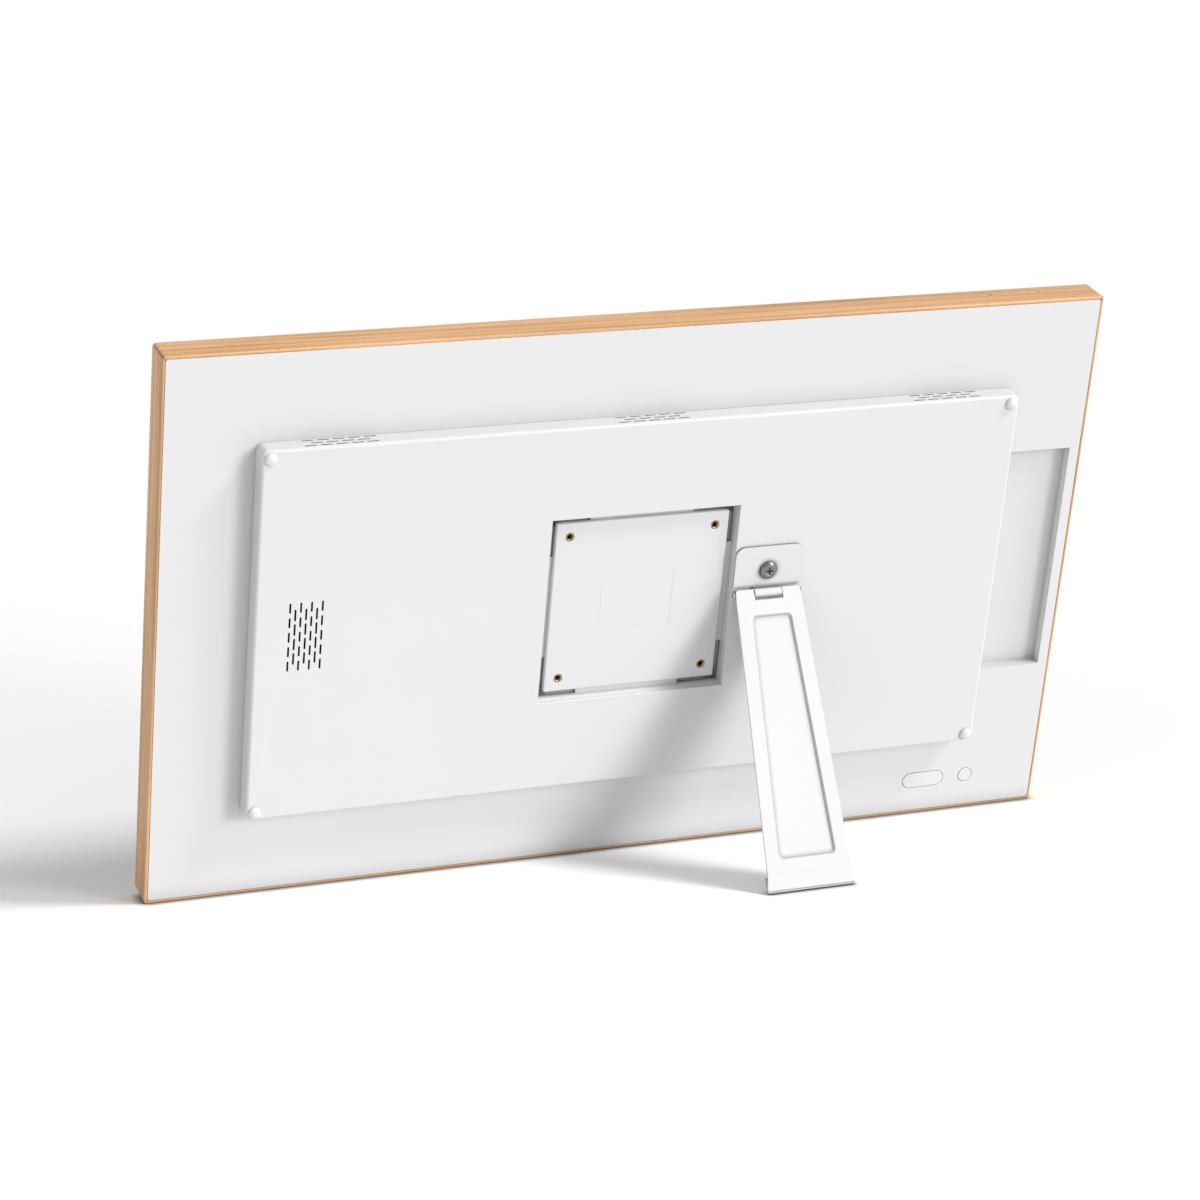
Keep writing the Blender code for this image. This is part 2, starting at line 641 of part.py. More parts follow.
def backlight_pan():
    """Shallow steel tray that holds the display, with four posts for the main board on its back."""
    tray = prism([rounded_rectangle(PAN_W, PAN_H, 2 * PAN_SHEET, steps=2)], PAN_FRONT, PAN_BACK)
    pan = place("backlight_pan", tray, bare_steel())
    inside = rectangle(PAN_W - 2 * PAN_SHEET, PAN_H - 2 * PAN_SHEET)
    inner = prism([inside], PAN_FRONT - MM, PAN_BACK - PAN_SHEET)
    posts = [rod((x, PAN_BACK - PAN_SHEET / 2, z), (x, BOARD_BACK - GAP, z), BOARD_POST_RADIUS, 12)
             for x, z in board_screw_places()]
    threads = [rod((x, PAN_BACK, z), (x, BOARD_BACK + MM, z), BOARD_SCREW_SHAFT + HOLE, 10)
               for x, z in board_screw_places()]
    cut(pan, tool("cut_pan_inside", inner))
    join(pan, tool("add_board_posts", merged(*posts)))
    cut(pan, tool("cut_board_threads", merged(*threads)))


# ---------------------------------------------------------------- rear panel
def key_outlines(margin):
    return [slot(ROCKER_LENGTH + 2 * margin, ROCKER_WIDTH + 2 * margin, ROCKER_CENTRE, steps=10),
            arc(POWER_CENTRE, POWER_RADIUS + margin, 0, 345, 23)]


def rear_panel():
    """White back sheet with the sunk socket bay, the key holes and the rocker's two ears."""
    half_w, half_h = OPENING_W / 2, OPENING_H / 2
    bay = BAY_HEIGHT / 2
    opening = [(-half_w, -half_h), (half_w, -half_h), (half_w, half_h), (-half_w, half_h),
               (-half_w, bay), (BAY_FAR_X, bay), (BAY_FAR_X, -bay), (-half_w, -bay)]
    sheet = prism([rounded_rectangle(PANEL_W, PANEL_H, CORNER_RADIUS - RAIL_RIM / 2), opening]
                  + key_outlines(GAP), -PANEL_THICKNESS, 0)
    panel = place("rear_panel", sheet, white_plastic())
    inside_x = -CASE_EDGE_X + CASE_WALL
    tub = box((BAY_FAR_X - BAY_WALL, -BAY_DEPTH - BAY_WALL, -bay - BAY_WALL),
              (inside_x, -PANEL_THICKNESS / 2, bay + BAY_WALL))
    hollow = box((BAY_FAR_X, -BAY_DEPTH, -bay), (inside_x + MM, MM, bay))
    join(panel, tool("add_bay_walls", tub))
    cut(panel, tool("cut_bay_inside", hollow))
    x, z = ROCKER_CENTRE
    low, ear = -ROCKER_PIN_DEPTH - 2 * ROCKER_PIN_RADIUS, ROCKER_WIDTH / 2 + 2 * GAP
    ears = [block((2 * ROCKER_EAR, -PANEL_THICKNESS / 2 - low, ROCKER_EAR),
                  (x, (low - PANEL_THICKNESS / 2) / 2, z + s * (ear + ROCKER_EAR / 2))) for s in (1, -1)]
    join(panel, tool("add_rocker_ears", merged(*ears)))
    reach = ear + ROCKER_EAR + MM
    pivot = rod((x, -ROCKER_PIN_DEPTH, z - reach), (x, -ROCKER_PIN_DEPTH, z + reach),
                ROCKER_PIN_RADIUS + HOLE, 12)
    threads = [rod((sx, -2 * PANEL_THICKNESS, sz), (sx, PANEL_THICKNESS, sz), CASE_SCREW_SHAFT + HOLE, 12)
               for sx, sz in case_screw_places()]
    cut(panel, tool("cut_rocker_pivot", pivot), tool("cut_panel_screws", merged(*threads)))


# ---------------------------------------------------------------- rear case
def case_screw_places():
    return corners(CASE_EDGE_X - CASE_SCREW_INSET, CASE_HEIGHT / 2 - CASE_SCREW_INSET)


def grille_slots():
    outlines = []
    for column in range(GRILLE_COLUMNS):
        count, length = GRILLE_SHORT_COLUMN if column % 2 else GRILLE_LONG_COLUMN
        x = GRILLE_X + (column - (GRILLE_COLUMNS - 1) / 2) * GRILLE_COLUMN_PITCH
        for row in range(count):
            z = (row - (count - 1) / 2) * GRILLE_SLOT_PITCH
            outlines.append(slot(length, GRILLE_SLOT_WIDTH, (x, z), upright=True, steps=3))
    return outlines


def vent_slots():
    """Outlines in X and Y of the cooling slots in the case's top side."""
    outlines = []
    for group in (-VENT_GROUP_OFFSET, 0, VENT_GROUP_OFFSET):
        for row, count in enumerate(VENT_ROW_COUNTS):
            for place_in_row in range(count):
                x = group + (place_in_row - (count - 1) / 2) * VENT_SLOT_PITCH
                y = VENT_ROW_FIRST + row * VENT_ROW_PITCH
                outlines.append(slot(VENT_SLOT_LENGTH, VENT_SLOT_WIDTH, (x, y), steps=3))
    return outlines


def vesa_well_outline(half):
    """The recess's plan at the ledges: a square with a ledge standing in from each side."""
    step = VESA_OPENING / 2 - VESA_LEDGE_REACH
    long = VESA_LEDGE_LENGTH / 2
    side = [(half, -half), (half, -long), (step, -long), (step, long), (half, long)]
    points = []
    for _ in range(4):
        points += side
        side = [(-z, x) for x, z in side]
    return points


def socket_cutters():
    """Openings in the case's side wall for the three sockets on the board's edge."""
    x0, x1 = -CASE_EDGE_X - MM, -CASE_EDGE_X + 2 * CASE_WALL
    m = SOCKET_WALL_MARGIN
    jack = rod((x0, socket_y(JACK_SIZE), JACK_Z), (x1, socket_y(JACK_SIZE), JACK_Z), JACK_HOLE + m, 20)
    openings = [jack]
    for z, size, mouth in ((USB_Z, USB_SIZE, USB_MOUTH), (CARD_Z, CARD_SIZE, CARD_MOUTH)):
        y = socket_y(size)
        openings.append(box((x0, y - mouth[0] / 2 - m, z - mouth[1] / 2 - m),
                            (x1, y + mouth[0] / 2 + m, z + mouth[1] / 2 + m)))
    return merged(*openings)


def rear_case():
    """Raised housing: a rounded block, hollowed around the mounting well and the screw bosses."""
    base = GAP
    outline = rounded_rectangle(CASE_WIDTH, CASE_HEIGHT, CASE_CORNER_RADIUS, steps=6)
    shell = prism([outline], base, CASE_RISE, whole_caps=True)
    round_edges(shell, lambda p: near(p.y, CASE_RISE), CASE_EDGE_RADIUS, 5)
    case = place("rear_case", shell, white_plastic())
    well_outer = VESA_OPENING + 2 * VESA_WELL_WALL
    inner = rounded_rectangle(CASE_WIDTH - 2 * CASE_WALL, CASE_HEIGHT - 2 * CASE_WALL,
                              CASE_CORNER_RADIUS - CASE_WALL, steps=3)
    islands = [rectangle(well_outer, well_outer)]
    hollow = prism([inner] + islands, -MM, CASE_INNER)
    cut(case, tool("cut_case_inside", hollow))
    bosses = [rod((x, base, z), (x, CASE_INNER + CASE_WALL / 2, z), CASE_BOSS_RADIUS, 16)
              for x, z in case_screw_places()]
    join(case, tool("add_case_bosses", merged(*bosses)))
    skirt = box((-CASE_EDGE_X, -BAY_DEPTH + GAP, -BAY_HEIGHT / 2 + GAP),
                (-CASE_EDGE_X + CASE_WALL - GAP, base + CASE_WALL, BAY_HEIGHT / 2 - GAP))
    join(case, tool("add_bay_skirt", skirt))
    ledge_top = VESA_BACK - GAP
    ledge_low = ledge_top - VESA_LEDGE_THICKNESS
    mouth = rectangle(VESA_OPENING, VESA_OPENING)
    throat = vesa_well_outline(VESA_OPENING / 2 - WELL_STEP)
    under = rectangle(VESA_OPENING + 2 * WELL_STEP, VESA_OPENING + 2 * WELL_STEP)
    cut(case,
        tool("cut_well_mouth", prism([mouth], ledge_top, CASE_RISE + MM)),
        tool("cut_well_throat", prism([throat], -MM, ledge_top + MM)),
        tool("cut_well_under", prism([under], -2 * MM, ledge_low)))
    grille = [prism([outline], CASE_INNER - MM, CASE_RISE + MM) for outline in grille_slots()]
    cut(case, tool("cut_speaker_slots", merged(*grille)))
    top = CASE_HEIGHT / 2
    vents = [prism([outline], top - CASE_WALL - MM, top + MM, axis="Z") for outline in vent_slots()]
    cut(case, tool("cut_cooling_slots", merged(*vents)))
    cut(case, tool("cut_socket_openings", socket_cutters()))
    seat = CASE_RISE - CASE_SCREW_SINK
    bores = [rod((x, -MM, z), (x, CASE_RISE, z), CASE_SCREW_SHAFT + HOLE, 12) for x, z in case_screw_places()]
    seats = [rod((x, seat, z), (x, CASE_RISE + MM, z), BUMPER_STEM_RADIUS + HOLE, 16)
             for x, z in case_screw_places()]
    stand_bore = rod((STAND_X, 0, STAND_SCREW_Z), (STAND_X, 2 * CASE_RISE, STAND_SCREW_Z),
                     STAND_SCREW_SHAFT + HOLE, 16)
    cut(case, tool("cut_case_seats", merged(*seats)), tool("cut_case_bores", merged(*bores, stand_bore)))


def bumpers_and_case_screws():
    for number, (x, z) in enumerate(case_screw_places(), 1):
        seat = CASE_RISE - CASE_SCREW_SINK + GAP
        dome = dome_shape(x, z, BUMPER_RADIUS, CASE_RISE + GAP, BUMPER_RISE)
        stem = rod((x, CASE_RISE - BUMPER_STEM, z), (x, CASE_RISE + 2 * GAP, z), BUMPER_STEM_RADIUS, 16)
        bumper = place("bumper_%d" % number, dome, white_plastic())
        join(bumper, tool("add_bumper_stem_%d" % number, stem))
        head = rod((x, seat, z), (x, seat + CASE_SCREW_HEAD_HEIGHT, z), CASE_SCREW_HEAD, 14)
        shaft = rod((x, seat - CASE_SCREW_LENGTH, z), (x, seat + MM / 2, z), CASE_SCREW_SHAFT, 10)
        screw = place("case_screw_%d" % number, head, bare_steel())
        join(screw, tool("add_case_screw_shaft_%d" % number, shaft))


def dome_shape(x, z, radius, base, rise, segments=16, steps=4):
    """Turned dome with a flat underside, on an axis along Y."""
    shape = bmesh.new()
    profile = [(0, 0)] + [(radius * math.cos(a), rise * math.sin(a))
                          for a in (math.pi / 2 * i / steps for i in range(steps))] + [(0, rise)]
    verts = [shape.verts.new((r, h, 0)) for r, h in profile]
    edges = [shape.edges.new(pair) for pair in zip(verts, verts[1:])]
    bmesh.ops.spin(shape, geom=verts + edges, cent=(0, 0, 0), axis=(0, 1, 0), angle=2 * math.pi,
                   steps=segments, use_merge=True)
    bmesh.ops.remove_doubles(shape, verts=shape.verts, dist=1e-6)
    bmesh.ops.recalc_face_normals(shape, faces=shape.faces)
    turn = Matrix.Rotation(math.pi / segments, 4, "Y")
    bmesh.ops.transform(shape, matrix=Matrix.Translation((x, base, z)) @ turn, verts=shape.verts)
    return shape


# ---------------------------------------------------------------- wall mount
def vesa_mount():
    """Plate with four bosses, its brass inserts, and the steel channel behind it."""
    places = corners(VESA_PITCH / 2, VESA_PITCH / 2)
    outline = rounded_rectangle(VESA_PLATE, VESA_PLATE, MM, steps=2)
    slab = prism([outline], VESA_BACK, VESA_FACE, whole_caps=True)
    round_edges(slab, lambda p: near(p.y, VESA_FACE), VESA_CHAMFER, 1)
    plate = place("vesa_plate", slab, white_plastic(), origin=(0, VESA_FACE, 0))
    boss_end = VESA_BACK - VESA_BOSS_LENGTH
    bosses = [rod((x, boss_end, z), (x, VESA_BACK + MM, z), VESA_BOSS_RADIUS, 16) for x, z in places]
    holes = [rod((x, boss_end - MM, z), (x, VESA_FACE + MM, z), INSERT_RADIUS + HOLE / 2, 16)
             for x, z in places]
    join(plate, tool("add_vesa_bosses", merged(*bosses)))
    cut(plate, tool("cut_vesa_holes", merged(*holes)))
    for number, (x, z) in enumerate(places, 1):
        sleeve = rod((x, VESA_FACE - INSERT_LENGTH, z), (x, VESA_FACE, z), INSERT_RADIUS - HOLE / 2, 16)
        insert = place("vesa_insert_%d" % number, sleeve, brass())
        bore = rod((x, VESA_FACE - INSERT_LENGTH - MM, z), (x, VESA_FACE + MM, z), INSERT_BORE, 12)
        cut(insert, tool("cut_insert_bore_%d" % number, bore))
    place("vesa_bracket", bracket_channel(boss_end), bare_steel(), smooth=False)


def bracket_channel(boss_end):
    """Hat-section channel from the display pan up to the plate's bosses."""
    t = BRACKET_SHEET
    half = VESA_OPENING / 2 - 2 * GAP - t
    foot, top = PAN_BACK + GAP, boss_end - GAP
    right = [(half + BRACKET_FLANGE, foot), (half + BRACKET_FLANGE, foot + t), (half, foot + t), (half, top)]
    under = [(half - t, top - t), (half - t, foot)]
    outline = right + [(-x, y) for x, y in reversed(right)] + [(-x, y) for x, y in reversed(under)] + under
    long = VESA_PLATE / 2
    return prism([outline], -long, long, axis="Z")


# ---------------------------------------------------------------- electronics
def socket_y(size):
    """Height of a socket's middle above the rear panel."""
    return BOARD_FRONT + SOCKET_LIFT + size[1] / 2


def main_board():
    board = block((BOARD_WIDTH, BOARD_THICKNESS, BOARD_HEIGHT),
                  (BOARD_CENTRE_X, BOARD_BACK + BOARD_THICKNESS / 2, 0))
    made = place("main_board", board, circuit_board(), smooth=False)
    holes = [rod((x, BOARD_BACK - MM, z), (x, BOARD_FRONT + MM, z), BOARD_SCREW_SHAFT + HOLE, 10)
             for x, z in board_screw_places()]
    cut(made, tool("cut_board_holes", merged(*holes)))
    for number, (x, z) in enumerate(board_screw_places(), 1):
        seat = BOARD_FRONT + GAP
        head = rod((x, seat, z), (x, seat + BOARD_SCREW_HEAD_HEIGHT, z), BOARD_SCREW_HEAD, 12)
        screw = place("board_screw_%d" % number, head, bare_steel())
        shaft = rod((x, seat - BOARD_SCREW_LENGTH, z), (x, seat + MM / 2, z), BOARD_SCREW_SHAFT, 8)
        join(screw, tool("add_board_screw_shaft_%d" % number, shaft))


def heat_sink():
    """Finned block on the processor, drawn as one comb outline."""
    half = HEAT_SINK_SIZE / 2
    pitch = (HEAT_SINK_SIZE - FIN_THICKNESS) / (HEAT_SINK_FINS - 1)
    outline = [(-half, 0), (half, 0)]
    for fin in reversed(range(HEAT_SINK_FINS)):
        left = -half + fin * pitch
        outline += [(left + FIN_THICKNESS, HEAT_SINK_BASE), (left + FIN_THICKNESS, HEAT_SINK_HEIGHT),
                    (left, HEAT_SINK_HEIGHT), (left, HEAT_SINK_BASE)]
    outline = [p for i, p in enumerate(outline) if i not in (2, len(outline) - 1)]
    sink = prism([outline], -half, half, axis="Z")
    bmesh.ops.translate(sink, vec=(BOARD_CENTRE_X + half / 2, BOARD_FRONT + GAP, 0), verts=sink.verts)
    place("heat_sink", sink, bare_steel(), smooth=False)


def sockets():
    """Power jack, USB socket and card slot along the board's edge, open towards the bay."""
    front = BOARD_LEFT + GAP
    y0 = BOARD_FRONT + GAP
    for name, z, size in (("dc_jack", JACK_Z, JACK_SIZE), ("usb_port", USB_Z, USB_SIZE),
                          ("card_slot", CARD_Z, CARD_SIZE)):
        high = socket_y(size) + size[1] / 2
        body = box((front, y0, z - size[2] / 2), (front + size[0], high, z + size[2] / 2))
        finish = bare_steel() if name != "dc_jack" else black_plastic()
        made = place(name, body, finish, smooth=False)
        y = socket_y(size)
        if name == "dc_jack":
            well = rod((front - MM, y, z), (front + size[0] - SOCKET_BACK, y, z), JACK_HOLE, 20)
            pin = rod((front + MM, y, z), (front + size[0] - MM, y, z), JACK_PIN, 10)
            cut(made, tool("cut_jack_well", well))
            join(made, tool("add_jack_pin", pin))
            continue
        mouth = USB_MOUTH if name == "usb_port" else CARD_MOUTH
        well = box((front - MM, y - mouth[0] / 2, z - mouth[1] / 2),
                   (front + size[0] - SOCKET_BACK, y + mouth[0] / 2, z + mouth[1] / 2))
        cut(made, tool("cut_%s_mouth" % name, well))
        if name == "usb_port":
            tongue = box((front + MM, y, z - USB_TONGUE[1] / 2),
                         (front + size[0] - MM, y + USB_TONGUE[0], z + USB_TONGUE[1] / 2))
            join(made, tool("add_usb_tongue", tongue))


def speaker():
    """Box speaker behind the slots, with its foam gasket against the case."""
    w, h = SPEAKER_SIZE
    gasket_top = CASE_INNER - GAP
    top = gasket_top - SPEAKER_GASKET - GAP
    outline = rounded_rectangle(w, h, SPEAKER_CORNER, (GRILLE_X, 0), steps=3)
    opening = rounded_rectangle(w - 2 * SPEAKER_RIM, h - 2 * SPEAKER_RIM, SPEAKER_CORNER / 2, (GRILLE_X, 0),
                                steps=3)
    made = place("speaker", prism([outline], top - SPEAKER_DEPTH, top), black_plastic())
    cone = prism([opening], top - SPEAKER_CONE_DEPTH, top + MM)
    cut(made, tool("cut_speaker_front", cone))
    gasket = prism([outline, opening], gasket_top - SPEAKER_GASKET, gasket_top)
    place("speaker_gasket", gasket, rubber())


def microphone_board():
    w, d, t = MIC_BOARD_SIZE
    x = sum(mic_positions()) / 2
    high = CAVITY_H / 2 - GAP
    board = box((x - w / 2, -MIC_DEPTH - d / 2 + MM, high - t), (x + w / 2, -MIC_DEPTH + d / 2 + MM, high))
    place("mic_board", board, circuit_board(), smooth=False)


def ribbon(name, x, width, path):
    """Flat cable: a strip along a path in Y and Z, given its thickness by Solidify."""
    shape = bmesh.new()
    verts = [shape.verts.new((x - width / 2, y, z)) for y, z in path]
    edges = [shape.edges.new(pair) for pair in zip(verts, verts[1:])]
    drawn = bmesh.ops.extrude_edge_only(shape, edges=edges)
    moved = [item for item in drawn["geom"] if isinstance(item, bmesh.types.BMVert)]
    bmesh.ops.translate(shape, vec=(width, 0, 0), verts=moved)
    strip = place(name, shape, amber_film(), smooth=False)
    thick = strip.modifiers.new("thickness", "SOLIDIFY")
    thick.thickness = RIBBON_THICKNESS
    thick.offset = 0
    thick.use_even_offset = True


def ribbons():
    low = PAN_BACK + GAP + RIBBON_THICKNESS
    lap, lift = RIBBON_LAP
    rise = BOARD_FRONT + lift
    edge = -BOARD_HEIGHT / 2
    over = [(low, edge - RIBBON_BENDS[0]), (rise - MM, edge - RIBBON_BENDS[1]), (rise, edge + lap)]
    from_pan = -PAN_H / 2 + RIBBON_FROM_PAN_END
    ribbon("display_ribbon", BOARD_CENTRE_X, DISPLAY_RIBBON_WIDTH, [(low, from_pan)] + over)
    from_keys = ROCKER_CENTRE[1] + ROCKER_WIDTH / 2 + BUTTON_BOARD_MARGIN + GAP
    ribbon("button_ribbon", ROCKER_CENTRE[0], BUTTON_RIBBON_WIDTH, [(low, from_keys)] + over)


def speaker_lead():
    """Round lead from the speaker's end, below the mounting channel, to the main board."""
    start_z = -SPEAKER_SIZE[1] / 2 - GAP - LEAD_RADIUS
    low = PAN_BACK + GAP + 2 * LEAD_RADIUS
    run_z = -(VESA_PLATE / 2 + LEAD_BELOW_PLATE)
    right, left = GRILLE_X - LEAD_CLEARANCE, BOARD_LEFT + BOARD_WIDTH + LEAD_CLEARANCE
    turns = arc((right - LEAD_BEND, run_z + LEAD_BEND), LEAD_BEND, 0, -90, 3)
    turns += arc((left + LEAD_BEND, run_z + LEAD_BEND), LEAD_BEND, -90, -180, 3)
    route = [(right, low, start_z)] + [(x, low, z) for x, z in turns] + [(left, low, LEAD_END_Z)]
    curve = bpy.data.curves.new("speaker_lead", "CURVE")
    curve.dimensions = "3D"
    curve.bevel_depth = LEAD_RADIUS
    curve.bevel_resolution = 2
    curve.use_fill_caps = True
    spline = curve.splines.new("POLY")
    spline.points.add(len(route) - 1)
    for point, place_on in zip(spline.points, route):
        point.co = (*place_on, 1)
    lead = bpy.data.objects.new("speaker_lead", curve)
    curve.materials.append(black_plastic())
    PARTS.objects.link(lead)
    lead.parent = FRAME_AXES
    weld = lead.modifiers.new("caps", "WELD")
    weld.merge_threshold = 0.00001


def antenna():
    w, t, h = ANTENNA_SIZE
    high = CASE_INNER - GAP
    x, z = VENT_GROUP_OFFSET / 2, CASE_HEIGHT / 2 - CASE_WALL - 2 * h
    place("wifi_antenna", box((x - w / 2, high - t, z), (x + w / 2, high, z + h)), amber_film(), smooth=False)


# ---------------------------------------------------------------- keys
def key_board_top():
    return PAN_BACK + BUTTON_BOARD_LIFT + BUTTON_BOARD_THICKNESS


def switch_top():
    return key_board_top() + GAP + SWITCH_HEIGHT


def rocker():
    """Pill-shaped key on a pin across its middle, with a post under each end."""
    x, z = ROCKER_CENTRE
    origin = (x, -ROCKER_PIN_DEPTH, z)
    pill = slot(ROCKER_LENGTH, ROCKER_WIDTH, ROCKER_CENTRE, steps=10)
    cap = prism([pill], KEY_PROUD - KEY_CAP_DEPTH, KEY_PROUD, whole_caps=True)
    round_edges(cap, lambda p: near(p.y, KEY_PROUD), KEY_EDGE_RADIUS, 2)
    key = place("volume_rocker", cap, white_plastic(), origin=origin)
    under = KEY_PROUD - KEY_CAP_DEPTH + MM / 2
    rib_half, rib_end = 2 * ROCKER_PIN_RADIUS + GAP, ROCKER_WIDTH / 2 - ROCKER_RIB_INSET
    rib = box((x - rib_half, -ROCKER_PIN_DEPTH - 2 * ROCKER_PIN_RADIUS, z - rib_end),
              (x + rib_half, under, z + rib_end))
    dip = ROCKER_POST_OFFSET * math.sin(ROCKER_SWING) + TRAVEL_ROOM
    posts = [rod((x + s * ROCKER_POST_OFFSET, switch_top() + dip, z), (x + s * ROCKER_POST_OFFSET, under, z),
                 KEY_POST_RADIUS, 12) for s in (1, -1)]
    pivot = rod((x, -ROCKER_PIN_DEPTH, z - ROCKER_WIDTH), (x, -ROCKER_PIN_DEPTH, z + ROCKER_WIDTH),
                ROCKER_PIN_RADIUS + HOLE, 12)
    join(key, tool("add_rocker_rib", rib), tool("add_rocker_posts", merged(*posts)))
    cut(key, tool("cut_rocker_bore", pivot))
    reach = ROCKER_WIDTH / 2 + 2 * GAP + ROCKER_EAR
    pin = rod((x, -ROCKER_PIN_DEPTH, z - reach), (x, -ROCKER_PIN_DEPTH, z + reach), ROCKER_PIN_RADIUS, 12)
    place("rocker_pin", pin, bare_steel())


def power_key():
    """Round key with a retaining flange under the panel and a post to its switch."""
    x, z = POWER_CENTRE
    flange_top = -PANEL_THICKNESS - GAP
    cap = rod((x, flange_top - MM / 2, z), (x, KEY_PROUD, z), POWER_RADIUS, 32)
    round_edges(cap, lambda p: near(p.y, KEY_PROUD), KEY_EDGE_RADIUS, 2)
    key = place("power_button", cap, white_plastic(), origin=(x, 0, z))
    flange = rod((x, flange_top - MM, z), (x, flange_top, z), POWER_RADIUS + POWER_FLANGE, 32)
    post = rod((x, switch_top() + POWER_TRAVEL + TRAVEL_ROOM, z), (x, flange_top - MM / 2, z),
               KEY_POST_RADIUS, 12)
    join(key, tool("add_power_flange", flange), tool("add_power_post", post))


def switches():
    top = key_board_top()
    x, z = ROCKER_CENTRE
    spots = (("switch_volume_up", x - ROCKER_POST_OFFSET), ("switch_volume_down", x + ROCKER_POST_OFFSET),
             ("switch_power", POWER_CENTRE[0]))
    for name, sx in spots:
        middle = (sx, top + GAP + SWITCH_HEIGHT / 2, z)
        place(name, block((SWITCH_SIZE, SWITCH_HEIGHT, SWITCH_SIZE), middle), black_plastic(), smooth=False)
    m = BUTTON_BOARD_MARGIN
    low = (POWER_CENTRE[0] - POWER_RADIUS - m, PAN_BACK + BUTTON_BOARD_LIFT, z - ROCKER_WIDTH / 2 - m)
    high = (x + ROCKER_LENGTH / 2 + m, top, z + ROCKER_WIDTH / 2 + m)
    place("button_board", box(low, high), circuit_board(), smooth=False)


# ---------------------------------------------------------------- stand
def stand_leaf():
    """Hinge leaf on the case, with its centre tongue rolled into the knuckle."""
    low, high = CASE_RISE + GAP, CASE_RISE + GAP + LEAF_THICKNESS
    half, r = LEAF_WIDTH / 2, LEAF_CORNER
    outline = [(STAND_X - half, LEAF_BOTTOM), (STAND_X + half, LEAF_BOTTOM)]
    outline += arc((STAND_X + half - r, LEAF_TOP - r), r, 0, 90, 5)
    outline += arc((STAND_X - half + r, LEAF_TOP - r), r, 90, 180, 5)
    leaf = place("stand_plate", prism([outline], low, high), white_paint())
    knuckle_half = KNUCKLE_WIDTH / 2
    tongue = box((STAND_X - knuckle_half, low, HINGE_Z), (STAND_X + knuckle_half, high, LEAF_BOTTOM + MM))
    barrel = rod((STAND_X - knuckle_half, HINGE_Y, HINGE_Z), (STAND_X + knuckle_half, HINGE_Y, HINGE_Z),
                 KNUCKLE_RADIUS, 24)
    bore = rod((STAND_X - LEAF_WIDTH, HINGE_Y, HINGE_Z), (STAND_X + LEAF_WIDTH, HINGE_Y, HINGE_Z),
               PIN_RADIUS + HOLE, 16)
    hole = rod((STAND_X, 0, STAND_SCREW_Z), (STAND_X, 2 * CASE_RISE, STAND_SCREW_Z),
               STAND_SCREW_SHAFT + HOLE, 16)
    join(leaf, tool("add_leaf_tongue", tongue), tool("add_knuckle", barrel))
    cut(leaf, tool("cut_knuckle_bore", bore), tool("cut_leaf_hole", hole))


def stand_screw():
    """Truss-head cross screw through the leaf and the case into the nut plate."""
    base = CASE_RISE + GAP + LEAF_THICKNESS + GAP
    top = base + STAND_SCREW_RISE
    head = dome_shape(STAND_X, STAND_SCREW_Z, STAND_SCREW_HEAD, base, STAND_SCREW_RISE, 24, 5)
    nut_low = CASE_INNER - GAP - NUT_SIZE[1]
    shaft = rod((STAND_X, nut_low - MM, STAND_SCREW_Z), (STAND_X, base + MM, STAND_SCREW_Z),
                STAND_SCREW_SHAFT, 14)
    screw = place("stand_screw", head, dark_steel(), origin=(STAND_X, base, STAND_SCREW_Z))
    join(screw, tool("add_stand_screw_shaft", shaft))
    arms = []
    for name, length, width, sink in (("across", CROSS_LENGTH, CROSS_WIDTH, CROSS_DEPTH),
                                      ("upright", CROSS_WIDTH, CROSS_LENGTH, CROSS_DEPTH - CROSS_STEP)):
        arm = box((STAND_X - length / 2, top - sink, STAND_SCREW_Z - width / 2),
                  (STAND_X + length / 2, top + MM, STAND_SCREW_Z + width / 2))
        arms.append(tool("cut_cross_" + name, arm))
    cut(screw, *arms)
    plate = block(NUT_SIZE, (STAND_X, nut_low + NUT_SIZE[1] / 2, STAND_SCREW_Z))
    nut = place("stand_nut", plate, bare_steel(), smooth=False)
    thread = rod((STAND_X, nut_low - MM, STAND_SCREW_Z), (STAND_X, CASE_INNER, STAND_SCREW_Z),
                 STAND_SCREW_SHAFT + HOLE, 16)
    cut(nut, tool("cut_nut_thread", thread))


def leg_half(distance):
    """Half the leg's width at a distance below the hinge axis."""
    if distance <= LEG_TO_BEND:
        share = (distance + LEG_ABOVE_AXIS) / (LEG_TO_BEND + LEG_ABOVE_AXIS)
        return LEG_HALF_TOP + (LEG_HALF_BEND - LEG_HALF_TOP) * share
    return LEG_HALF_BEND + (LEG_HALF_END - LEG_HALF_BEND) * (distance - LEG_TO_BEND) / LEG_LIP


def recess_outline(inset):
    """Rounded trapezoid of the pressed panel, drawn in by an inset."""
    r = RECESS_CORNER
    top, bottom = -(RECESS_FROM + inset) - r, -(RECESS_TO - inset) + r
    top_reach = leg_half(RECESS_FROM) - RECESS_SIDE_TOP - inset - r
    bottom_reach = leg_half(RECESS_TO) - RECESS_SIDE_BOTTOM - inset - r
    centres = [(top_reach, top), (-top_reach, top), (-bottom_reach, bottom), (bottom_reach, bottom)]
    points = []
    for quarter, centre in enumerate(centres):
        points += arc(centre, r, 90 * quarter, 90 * quarter + 90, 4)
    return points


